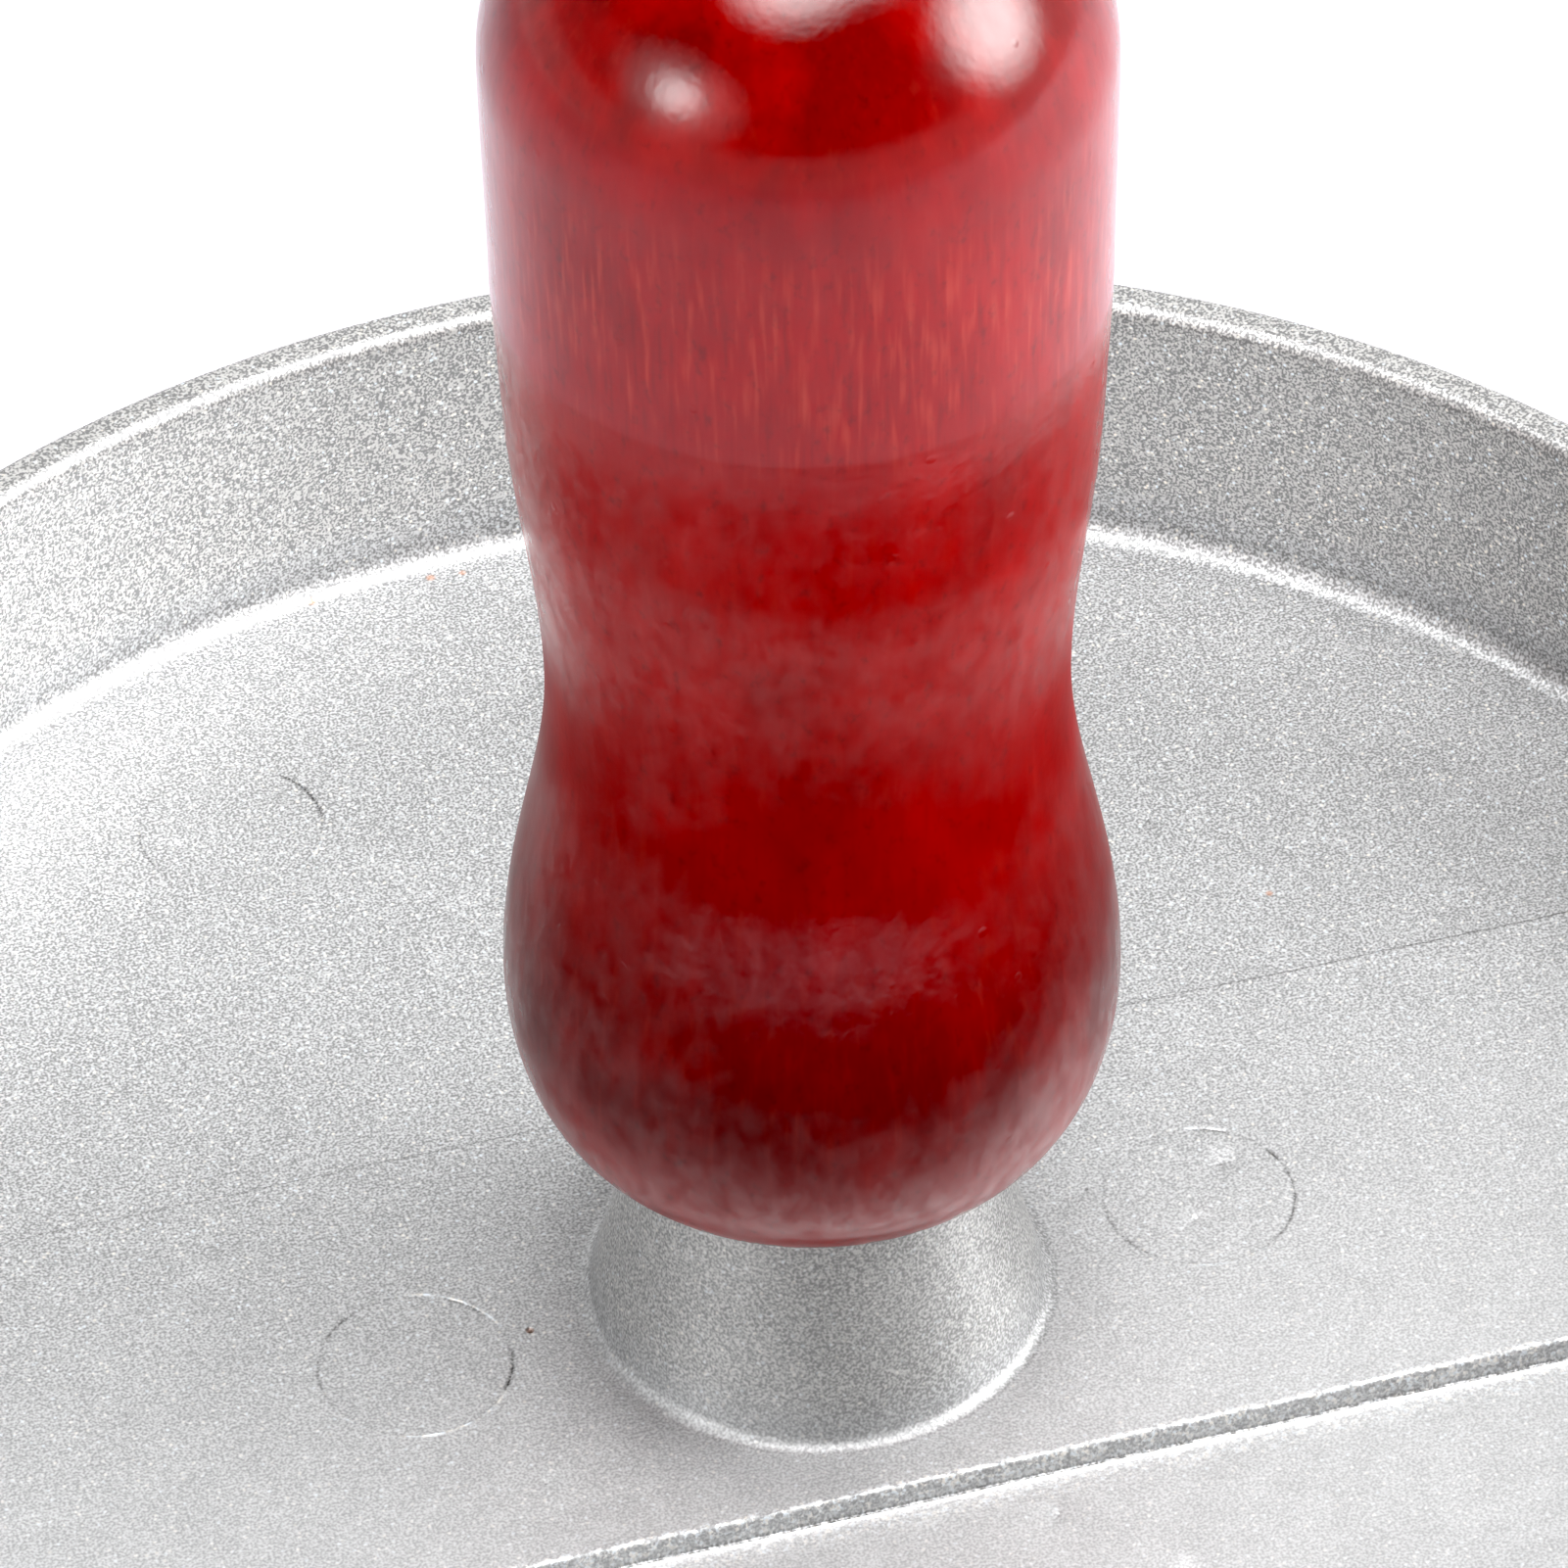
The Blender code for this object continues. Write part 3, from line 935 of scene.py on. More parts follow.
@dataclass
class MouldDish:
    """The round cast dish that the press head fits into."""

    coating: SparkleCoating
    wall: float = 2.2 * MM
    floor: float = 2.6 * MM
    draft: float = 0.4 * MM
    edge_radius: float = 3.0 * MM
    foot_fillet: float = 1.2 * MM
    rim_round: float = 0.6 * MM
    ring_inset: float = 8.4 * MM
    ring_width: float = 3.6 * MM
    ring_height: float = 2.0 * MM
    ring_draft: float = 0.6 * MM
    ring_round: float = 0.35 * MM
    bar_reach: float = 49.8 * MM
    sides: int = 288
    span: Span = field(default_factory=lambda: Span.of("mould_dish"))

    def profile(self) -> list[Point]:
        """The dish's section, from the underside's centre round to the floor's centre.

        Returns:
            Points (radius, height).
        """
        outer = self.span.radius
        low = outer - self.draft
        ring_out = low - self.ring_inset
        ring_in = ring_out - self.ring_width
        under = self.ring_height
        floor_top = under + self.floor
        inner = outer - self.wall
        foot = inner - self.draft
        top = self.span.top - self.rim_round
        r = self.ring_round
        return [
            (0.0, under),
            (ring_in - self.ring_draft, under),
            *arc((ring_in + r, r), r, 180, 270, 4),
            *arc((ring_out - r, r), r, 270, 360, 4),
            (ring_out + self.ring_draft, under),
            *arc((low - self.edge_radius, under + self.edge_radius), self.edge_radius, -90, 0, 10),
            *arc((outer - self.rim_round, top), self.rim_round, 0, 90),
            *arc((inner + self.rim_round, top), self.rim_round, 90, 180),
            *arc((foot - self.foot_fillet, floor_top + self.foot_fillet), self.foot_fillet, 0, -90, 8),
            (0.0, floor_top),
        ]

    def build(self) -> None:
        """Makes the dish and its grill bars."""
        material = self.coating.material()
        shell = Shell()
        profile = self.profile()
        last = shell.turn(profile[1:-1], self.sides)
        shell.close(last, profile[-1][1])
        shell.close(list(range(self.sides)), profile[0][1])
        mesh = shell.mesh("mould_casting", material)
        place_piece(mesh, "mould_casting", Body.MOULD, "mould_coating", ["mould_dish"])
        floor_top = self.ring_height + self.floor
        bars = GrillBars(
            "mould_grill_bars", Body.MOULD, "mould_dish", "mould_coating", Side.UP, floor_top, self.bar_reach
        )
        bars.build(material)


@dataclass(frozen=True)
class Spot:
    """A place on the plate's inside, with its offset from the strip's edge where a line fixes it."""

    x: float
    y: float
    line: Optional[float] = None

    @property
    def radius(self) -> float:
        """The distance from the axis."""
        return math.hypot(self.x, self.y)


@dataclass(frozen=True)
class PinMark:
    """The round mark that an ejector pin leaves in a casting.

    Each arc of its dark groove, cut and painted as shade, and of its bright flash, raised and painted as
    highlight, has a middle, a half width and a strength, with the angles in degrees from +X.
    """

    x: float
    y: float
    radius: float = 4.4 * MM
    dark: Arcs = ()
    bright: Arcs = ()
    groove: float = 0.05 * MM
    flash: float = 0.030 * MM
    flash_offset: float = 0.08 * MM
    sunk: float = 0.008 * MM
    line_width: float = 0.07 * MM
    groove_shade_width: float = 0.08 * MM

    RINGS = (-0.18 * MM, -0.08 * MM, 0.0, 0.08 * MM, 0.17 * MM, 0.26 * MM)

    def height(self, spot: Spot) -> float:
        """The mark's relief at a place on the casting.

        Args:
            spot: The place.

        Returns:
            The height that it adds.
        """
        off = self.off(spot)
        if off > self.RINGS[-1]:
            return 0.0
        if off < self.RINGS[0]:
            return -self.sunk
        groove = -self.groove * self.cut(spot) * math.exp(-((off / self.line_width) ** 2))
        level = -self.sunk if off < 0 else 0.0
        return level + groove + self.flash * self.flash_and_highlight(spot)

    def off(self, spot: Spot) -> float:
        """How far a place lies outside the mark's circle."""
        return math.hypot(spot.x - self.x, spot.y - self.y) - self.radius

    def along(self, arcs: Arcs, spot: Spot) -> float:
        """The strength of a set of arcs at a place.

        Args:
            arcs: The arcs.
            spot: The place.

        Returns:
            The strength, from 0 to 1.
        """
        angle = math.degrees(math.atan2(spot.y - self.y, spot.x - self.x))
        most = 0.0
        for middle, half, strength in arcs:
            apart = abs((angle - middle + 180.0) % 360.0 - 180.0)
            most = max(most, strength * min(1.0, max(0.0, 1.25 - apart / half) * 2.0))
        return most

    def cut(self, spot: Spot) -> float:
        """How deep the broken groove is at a place, from 0 to about 1."""
        dashes = noise.noise(Vector((spot.x, spot.y, 0.0)) / (0.6 * MM))
        return min(1.0, max(0.0, (0.16 + self.along(self.dark, spot)) * (1.0 + 0.9 * dashes)))

    def flash_and_highlight(self, spot: Spot) -> float:
        """How much bright flash stands on the circle at a place, raised and painted as highlight.

        Args:
            spot: The place.

        Returns:
            The share, from 0 to 1.
        """
        off = self.off(spot)
        if abs(off) > self.RINGS[-1]:
            return 0.0
        dashes = noise.noise(Vector((spot.x, spot.y, 3.0)) / (0.5 * MM))
        broken = max(0.0, 0.75 * self.along(self.bright, spot) * (0.8 + 1.8 * dashes))
        return min(1.0, broken) * math.exp(-(((off - self.flash_offset) / self.line_width) ** 2))

    def soil_and_shade(self, spot: Spot) -> float:
        """How much painted shade lies in the groove at a place.

        Args:
            spot: The place.

        Returns:
            The painted shade, from 0 to 1.
        """
        off = self.off(spot)
        if abs(off) > self.RINGS[-1]:
            return 0.0
        return 0.95 * self.cut(spot) * math.exp(-((off / self.groove_shade_width) ** 2))


@dataclass(frozen=True)
class Flaw:
    """A small flaw in a casting: a pit, a nick or a grain of rust, darkened with soil and painted shade."""

    x: float
    y: float
    radius: float
    depth: float
    # how dark the flaw is painted: soil with painted shade in the pit
    soil_and_shade: float
    rust: float = 0.0

    RINGS = (0.35, 0.75, 1.15)
    SIDES = 10

    def share(self, spot: Spot) -> float:
        """How much of the flaw is at a place: 1 in its middle and 0 past its edge."""
        apart = math.hypot(spot.x - self.x, spot.y - self.y) / (self.radius * self.RINGS[-1])
        return max(0.0, 1.0 - apart * apart)


@dataclass(frozen=True)
class RaisedStrip:
    """The raised strip across the plate, with the groove and the ridge beside it.

    The curves give an amount against the offset, in millimetres, outwards from the strip's top edge;
    they paint shade and a shadow beside the step and highlights on its ridge and lip.
    """

    width: float = 26.8 * MM
    height: float = 1.0 * MM
    bead_height: float = 0.035 * MM
    bead_width: float = 0.32 * MM
    painted_shadow_reach: float = 0.6 * MM

    FRONT_PAINTED_SHADE = ((-0.30, -0.08, 0.20, 0.27, 0.35, 0.43), (0.0, 0.20, 0.20, 0.70, 0.80, 0.0))
    BACK_PAINTED_SHADOW = ((-0.22, -0.08, 0.02, 0.20), (0.0, 0.42, 0.55, 0.15))
    PAINTED_RIDGE_HIGHLIGHT = ((0.35, 0.43, 0.55), (0.0, 0.95, 0.0))
    PAINTED_LIP_GLINTS = ((-0.38, -0.22, -0.08, 0.02, 0.20), (0.0, 0.45, 0.65, 0.65, 0.30))

    def section(self) -> list[Point]:
        """The step beside the strip: offsets outwards from its top edge, and heights over the floor.

        Returns:
            Points (offset, height).
        """
        top = self.height
        return [
            (-1.20 * MM, top),
            (-0.75 * MM, top),
            (-0.38 * MM, top),
            (-0.22 * MM, top + 0.004 * MM),
            (-0.08 * MM, top - 0.010 * MM),
            (0.02 * MM, top - 0.09 * MM),
            (0.08 * MM, top - 0.24 * MM),
            (0.20 * MM, 0.20 * MM),
            (0.27 * MM, 0.05 * MM),
            (0.35 * MM, 0.0),
            (0.43 * MM, 0.045 * MM),
            (0.55 * MM, 0.010 * MM),
            (0.80 * MM, 0.0),
            (1.20 * MM, 0.0),
        ]

    def offset(self, spot: Spot) -> float:
        """How far a place lies outwards from the strip's edge."""
        return abs(spot.y) - self.width / 2 if spot.line is None else spot.line

    @staticmethod
    def read(curve: Curve, offset: float) -> float:
        """The amount that a curve gives at an offset in metres."""
        return float(np.interp(offset / MM, *curve))

    @staticmethod
    def wander(x: float, side: float, offset: float) -> float:
        """How far the strip's ragged edge strays sideways.

        Args:
            x: The place along the strip.
            side: 1 for the edge at +Y, -1 for the other.
            offset: The section's offset from the edge.

        Returns:
            The stray outwards.
        """
        slow = noise.noise(Vector((x / (5.0 * MM), side * 7.3, 0.0))) * 0.07 * MM
        beads = noise.noise(Vector((x / (0.55 * MM), side * 3.1, 4.0))) * 0.09 * MM
        ragged = max(0.0, 1.0 - abs(offset + 0.05 * MM) / (0.45 * MM))
        calm = max(0.0, 1.0 - abs(offset - 0.35 * MM) / (0.5 * MM))
        return slow * max(ragged, calm) + beads * ragged

    def rise(self, spot: Spot) -> float:
        """The height of the strip's section over the floor at a place."""
        offsets, heights = zip(*self.section())
        return float(np.interp(self.offset(spot), offsets, heights))

    def beads(self, spot: Spot) -> float:
        """The relief of the coating's beads on the strip's lip.

        Args:
            spot: The place.

        Returns:
            The height that they add.
        """
        if not -0.5 * MM < self.offset(spot) < -0.05 * MM:
            return 0.0
        place = Vector((spot.x / self.bead_width, math.copysign(5.0, spot.y), 1.0))
        return self.bead_height * noise.noise(place)

    def soil_and_shade(self, spot: Spot) -> float:
        """How much painted shade lies beside the strip: on the step's face and in the crease at its foot at
        the front, and as a painted shadow line past the back edge.

        Args:
            spot: The place.

        Returns:
            The painted shade, from 0 to 1.
        """
        offset = self.offset(spot)
        if spot.y < 0:
            shade = self.read(self.FRONT_PAINTED_SHADE, offset)
        else:
            shade = self.read(self.BACK_PAINTED_SHADOW, offset) * (1.0 if offset < self.painted_shadow_reach else 0.0)
        return shade * (0.85 + 0.3 * noise.noise(Vector((spot.x / (1.6 * MM), spot.y / (9.0 * MM), 2.0))))

    def painted_sheen(self, spot: Spot) -> float:
        """How much painted highlight lies on the ridge under the strip's front edge.

        Args:
            spot: The place.

        Returns:
            The share, from 0 to 1.
        """
        if spot.line is None or spot.y > 0:
            return 0.0
        broken = 0.75 + 0.5 * noise.noise(Vector((spot.x / (2.3 * MM), 0.4, 6.0)))
        return broken * self.read(self.PAINTED_RIDGE_HIGHLIGHT, spot.line)

    def painted_lip_glints(self, spot: Spot) -> float:
        """How much painted glint lies on the coating's beads along the strip's front edge."""
        return 0.0 if spot.line is None or spot.y > 0 else self.read(self.PAINTED_LIP_GLINTS, spot.line)


class FloorPlan:
    """The points and edges, seen from above, that the plate's inside is meshed through."""

    def __init__(self) -> None:
        """Starts with nothing."""
        self.points: list[Point] = []
        self.edges: list[tuple[int, int]] = []
        self.offsets: dict[int, float] = {}

    def ring(self, radius: float, sides: int, x: float = 0.0, y: float = 0.0) -> list[int]:
        """Adds a ring.

        Args:
            radius: Its radius.
            sides: The number of its sides.
            x: Its centre along X.
            y: Its centre along Y.

        Returns:
            The points' numbers.
        """
        start = len(self.points)
        for number in range(sides):
            angle = 2 * math.pi * number / sides
            self.points.append((x + radius * math.cos(angle), y + radius * math.sin(angle)))
        self.edges.extend((start + number, start + (number + 1) % sides) for number in range(sides))
        return list(range(start, start + sides))

    def line(self, points: Sequence[Point], offset: float) -> None:
        """Adds an open line beside the strip.

        Args:
            points: The line's points.
            offset: The offset from the strip's edge that they share.
        """
        start = len(self.points)
        numbers = range(start, start + len(points))
        self.points.extend(points)
        self.offsets.update((number, offset) for number in numbers)
        self.edges.extend((number, number + 1) for number in numbers[:-1])

    def offset(self, sources: Iterable[int]) -> Optional[float]:
        """The offset of a corner that was made from these points, where a line fixes it."""
        return next((self.offsets[source] for source in sources if source in self.offsets), None)


@dataclass
class PressPlate:
    """The dished press plate, with its raised strip, boss, pin marks and grill bars."""

    coating: SparkleCoating
    strip: RaisedStrip = RaisedStrip()
    wall: float = 2.2 * MM
    floor: float = 2.6 * MM
    bar_height: float = 1.2 * MM
    outer_draft: float = 0.6 * MM
    inner_draft: float = 0.2 * MM
    edge_radius: float = 2.4 * MM
    foot_fillet: float = 1.15 * MM
    rim_round: float = 0.65 * MM
    boss_foot: float = 10.4 * MM
    boss_top: float = 7.6 * MM
    boss_height: float = 11.3 * MM
    boss_fillet: float = 0.8 * MM
    boss_round: float = 0.4 * MM
    hole_radius: float = 3.3 * MM
    hole_depth: float = 9.8 * MM
    bar_margin: float = 4.8 * MM
    sides: int = 720
    boss_sides: int = 288
    mark_sides: int = 120
    pitch: float = 2.2 * MM
    line_step: float = 0.25 * MM
    marks: tuple[PinMark, ...] = (
        PinMark(
            -18.84 * MM, 0.2 * MM,
            dark=((-22, 16, 1.0), (129, 11, 0.55), (42, 14, 0.5), (176, 18, 0.2)),
            bright=((52, 34, 0.8), (-78, 34, 0.9), (-141, 15, 0.4)),
        ),
        PinMark(
            18.3 * MM, 0.2 * MM,
            dark=((-14, 44, 0.42), (-162, 24, 0.5), (66, 10, 0.8)),
            bright=((80, 20, 0.9), (-95, 30, 0.4)),
        ),
        PinMark(
            -17.98 * MM, 38.65 * MM,
            dark=((20, 24, 0.9), (-172, 22, 0.3)),
            bright=((-35, 10, 0.8), (70, 25, 0.4)),
        ),
        PinMark(18.2 * MM, 38.6 * MM, dark=((-30, 40, 0.5),), bright=((100, 40, 0.6),)),
        PinMark(-18.2 * MM, -38.6 * MM, dark=((10, 30, 0.5),), bright=((-100, 40, 0.6),)),
        PinMark(18.2 * MM, -38.6 * MM, dark=((150, 40, 0.5),), bright=((40, 40, 0.6),)),
    )
    flaws: tuple[Flaw, ...] = (
        Flaw(-13.31 * MM, 0.82 * MM, 0.20 * MM, 0.12 * MM, 0.80, 0.5),
        Flaw(13.52 * MM, 2.06 * MM, 0.15 * MM, 0.02 * MM, 0.45),
        Flaw(12.25 * MM, 1.78 * MM, 0.12 * MM, 0.02 * MM, 0.40),
        Flaw(-10.23 * MM, 53.50 * MM, 0.22 * MM, 0.02 * MM, 0.10, 0.55),
        Flaw(-4.15 * MM, 53.60 * MM, 0.25 * MM, 0.02 * MM, 0.12, 0.60),
        Flaw(-2.55 * MM, 53.50 * MM, 0.20 * MM, 0.02 * MM, 0.08, 0.55),
        Flaw(28.18 * MM, 19.67 * MM, 0.20 * MM, 0.02 * MM, 0.05, 0.55),
    )
    glare_shade: float = 0.20
    glare_shade_corner: float = 0.9 * MM
    wave_width: float = 6.0 * MM
    wave_height: float = 0.004 * MM
    boss_shade: float = 0.18
    boss_shade_side: float = 0.16
    boss_shade_turn: float = 0.27
    boss_shade_patches: float = 0.10
    nicks: int = 36
    nick_depth: float = 0.03 * MM
    seed: int = 11
    span: Span = field(default_factory=lambda: Span.of("press_plate"))

    FILLET_SHARES = (0.0, 0.26, 0.5, 0.71, 0.87, 0.97)
    WALL_SHARES = (0.02, 0.06, 0.2, 0.4, 0.6, 0.8, 0.94, 1.0)
    LINE_END = 0.985
    LINE_CALM = 1.5 * MM
    ROW_SPACING = 0.87
    CLEAR_OF_STRIP = 1.5 * MM
    CLEAR_OF_BOSS = 0.8 * MM
    CLEAR_OF_WALL = 1.0 * MM

    def __post_init__(self) -> None:
        """Works out the heights and radii that follow from the sizes."""
        self.under = self.span.base + self.bar_height
        self.floor_top = self.under + self.floor
        self.strip_top = self.floor_top + self.strip.height
        self.boss_head = self.strip_top + self.boss_height
        self.inner = self.span.radius - self.wall
        self.wall_foot = self.inner - self.inner_draft
        self.flat_radius = self.wall_foot - self.foot_fillet
        taper = math.atan2(self.boss_foot - self.boss_top, self.boss_height)
        self.taper = math.degrees(taper)
        self.tangent = (1 - math.sin(taper)) / math.cos(taper)
        self.pad_radius = self.boss_foot + self.boss_fillet * self.tangent
        self.flaws += tuple(self.scatter_nicks())

    def scatter_nicks(self) -> Iterable[Flaw]:
        """Scatters tiny nicks over the floor, clear of the boss, the wall and the strip's edges.

        Returns:
            The nicks.
        """
        chance = random.Random(self.seed)
        placed = 0
        while placed < self.nicks:
            radius, angle = chance.uniform(14 * MM, 52 * MM), chance.uniform(0, 2 * math.pi)
            spot = Spot(radius * math.cos(angle), radius * math.sin(angle))
            size, tone = chance.uniform(0.06, 0.13) * MM, chance.uniform(0.25, 0.5)
            on_edge = abs(self.strip.offset(spot)) < 1.6 * MM
            if on_edge or any(abs(mark.off(spot)) < 0.6 * MM for mark in self.marks):
                continue
            placed += 1
            yield Flaw(spot.x, spot.y, size, self.nick_depth, tone)

    def marked(self, spot: Spot) -> dict[str, float]:
        """What the coating is marked with at a place.

        Args:
            spot: The place.

        Returns:
            How strong each mark is, from 0 to 1: the painted shade in grooves, beside the strip and along the
            wall's foot, with soil and painted shade in the flaws; the rust; the painted highlights on edges;
            and the painted glints on the beads.
        """
        # painted shade: the coating is darkened in the fillet at the wall's foot, dimming its glare
        glare_shade_band = (self.flat_radius - self.glare_shade_corner, self.flat_radius)
        corner = 0.7 * self.glare_shade * float(np.interp(spot.radius, glare_shade_band, (0.0, 1.0)))
        shares = [(flaw, flaw.share(spot)) for flaw in self.flaws]
        flawed = max(flaw.soil_and_shade * share for flaw, share in shares)
        return {
            "soil_and_shade": max(self.strip.soil_and_shade(spot), max(mark.soil_and_shade(spot) for mark in self.marks), corner, flawed),
            "rust": max(flaw.rust * share for flaw, share in shares),
            "edge": max(self.strip.painted_sheen(spot), max(mark.flash_and_highlight(spot) for mark in self.marks)),
            "bead": self.strip.painted_lip_glints(spot),
        }

    def fillet_rise(self, radius: float) -> float:
        """The rise of the fillet at the wall's foot.

        Args:
            radius: The distance from the axis.

        Returns:
            The height over the floor.
        """
        into = (radius - self.flat_radius) / self.foot_fillet
        if into <= 0:
            return 0.0
        return self.foot_fillet * (1 - math.sqrt(max(0.0, 1 - min(into, 1.0) ** 2)))

    def relief(self, spot: Spot) -> float:
        """The height of the plate's inside at a place.

        Args:
            spot: The place.

        Returns:
            The height.
        """
        height = self.floor_top + self.strip.rise(spot) + self.fillet_rise(spot.radius)
        height += self.strip.beads(spot)
        for mark in self.marks:
            height += mark.height(spot)
        for flaw in self.flaws:
            height -= flaw.depth * flaw.share(spot)
        if spot.radius < self.flat_radius:
            height += noise.noise(Vector((spot.x, spot.y, 0.0)) / self.wave_width) * self.wave_height
        return height

    def plan_strip(self, plan: FloorPlan) -> None:
        """Adds the lines along both edges of the strip, out into the wall's fillet.

        Args:
            plan: The plan.
        """
        last_ring = self.flat_radius + self.foot_fillet * self.LINE_END
        for side in (-1.0, 1.0):
            for offset, _ in self.strip.section():
                y = side * (self.strip.width / 2 + offset)
                half = math.sqrt(last_ring**2 - y * y)
                count = int(2 * half / self.line_step)
                points = []
                for number in range(count + 1):
                    x = -half + 2 * half * number / count
                    fade = min(1.0, (half - abs(x)) / self.LINE_CALM)
                    points.append((x, y + side * self.strip.wander(x, side, offset) * fade))
                plan.line(points, offset)

    def plan_grid(self, plan: FloorPlan) -> None:
        """Fills the open floor with points on a grid, clear of what stands on it.

        Args:
            plan: The plan.
        """
        reach = int(self.flat_radius / self.pitch)
        for row in range(-reach, reach + 1):
            for column in range(-reach, reach + 1):
                spot = Spot((column + 0.5 * (row % 2)) * self.pitch, row * self.pitch * self.ROW_SPACING)
                inner, outer = self.pad_radius + self.CLEAR_OF_BOSS, self.flat_radius - self.CLEAR_OF_WALL
                if inner < spot.radius < outer and abs(self.strip.offset(spot)) > self.CLEAR_OF_STRIP:
                    plan.points.append((spot.x, spot.y))

    def build_inside(self, shell: Shell) -> tuple[list[int], list[int]]:
        """Adds the plate's floor, with the strip, the pin marks and the wall's fillet.

        Args:
            shell: The mesh in the making.

        Returns:
            The ring at the wall's foot and the ring round the boss.
        """
        plan = FloorPlan()
        outer = plan.ring(self.wall_foot, self.sides)
        for share in self.FILLET_SHARES:
            plan.ring(self.flat_radius + self.foot_fillet * share, self.sides)
        plan.ring(self.flat_radius - 0.5 * MM, self.sides)
        boss = plan.ring(self.pad_radius, self.boss_sides)
        plan.ring(self.pad_radius + 0.4 * MM, self.boss_sides)
        for mark in self.marks:
            for offset in mark.RINGS:
                plan.ring(mark.radius + offset, self.mark_sides, mark.x, mark.y)
        for flaw in self.flaws:
            plan.points.append((flaw.x, flaw.y))
            for share in flaw.RINGS:
                plan.ring(flaw.radius * share, flaw.SIDES, flaw.x, flaw.y)
        self.plan_strip(plan)
        self.plan_grid(plan)
        flat = [Vector(point) for point in plan.points]
        found, _, faces, sources, _, _ = geometry.delaunay_2d_cdt(flat, plan.edges, [], 0, 1e-8)
        first = len(shell.corners)
        place: dict[int, int] = {}
        for corner, (point, made_from) in enumerate(zip(found, sources), first):
            spot = Spot(point.x, point.y, plan.offset(made_from))
            shell.corners.append((spot.x, spot.y, self.relief(spot)))
            for name, amount in self.marked(spot).items():
                shell.stain(name, corner, amount)
            place.update((source, corner) for source in made_from)
        for face in faces:
            if max(found[corner].length for corner in face) > self.pad_radius + 1e-6:
                shell.faces.append(tuple(first + corner for corner in face))
        return [place[number] for number in outer], [place[number] for number in boss]

    def build_wall(self, shell: Shell, foot: Sequence[int]) -> None:
        """Adds the wall over its rim, its outside and the underside.

        Args:
            shell: The mesh in the making.
            foot: The ring at the wall's foot.
        """
        top = self.span.top - self.rim_round
        starts = [shell.corners[corner][2] for corner in foot]
        last = list(foot)
        for share in self.WALL_SHARES:
            radius = self.wall_foot + self.inner_draft * share
            ring = shell.ring(radius, [start + (top - start) * share for start in starts])
            shell.band(last, ring)
            last = ring
        # painted shade on the wall's top ring, beside the rim
        for corner in last:
            shell.stain("soil_and_shade", corner, 0.5 * self.glare_shade)
        low = self.span.radius - self.outer_draft
        profile = [
            *arc((self.inner + self.rim_round, top), self.rim_round, 180, 90)[1:],
            *arc((self.span.radius - self.rim_round, top), self.rim_round, 90, 0),
            *arc((low - self.edge_radius, self.under + self.edge_radius), self.edge_radius, 0, -90, 10),
            (0.0, self.under),
        ]
        first = len(shell.corners)
        shell.turn(profile, self.sides, last)
        # painted shade on the rim, dimming its highlight
        for corner in range(first, len(shell.corners)):
            if shell.corners[corner][2] > top:
                shell.stain("soil_and_shade", corner, self.glare_shade)

    def build_boss(self, shell: Shell, pad: Sequence[int]) -> None:
        """Adds the tapered boss with its hole.

        Args:
            shell: The mesh in the making.
            pad: The ring round the boss.
        """
        centre = (self.pad_radius, self.strip_top + self.boss_fillet)
        fillet = arc(centre, self.boss_fillet, -90, self.taper - 180, 8)
        centre = (self.boss_top - self.boss_round * self.tangent, self.boss_head - self.boss_round)
        head = arc(centre, self.boss_round, self.taper, 90, 5)
        profile = [
            *fillet[1:],
            *run(fillet[-1], head[0], 8),
            *head,
            (self.hole_radius, self.boss_head),
            (self.hole_radius, self.boss_head - self.hole_depth),
            (0.0, self.boss_head - self.hole_depth),
        ]
        first = len(shell.corners)
        shell.turn(profile, self.boss_sides, pad)
        # painted shade on the boss under the handle: darker on one side and in patches
        for corner in range(first, len(shell.corners)):
            x, y, height = shell.corners[corner]
            patchy = self.boss_shade_patches * noise.noise(Vector((x, y, height)) / (3.0 * MM))
            one_sided = self.boss_shade_side * math.cos(math.atan2(y, x) + self.boss_shade_turn)
            shell.stain("soil_and_shade", corner, self.boss_shade + patchy + one_sided)

    def build(self) -> None:
        """Makes the casting and the grill bars under it."""
        material = self.coating.material()
        shell = Shell()
        foot, pad = self.build_inside(shell)
        self.build_wall(shell, foot)
        self.build_boss(shell, pad)
        mesh = shell.mesh("press_plate_casting", material)
        place_piece(mesh, "press_plate_casting", Body.HEAD, "plate_coating", ["press_plate"])
        reach = self.span.radius - self.outer_draft - self.edge_radius - self.bar_margin
        bars = GrillBars(
            "press_grill_bars", Body.HEAD, "press_plate", "plate_coating", Side.DOWN, self.under, reach
        )
        bars.build(material)


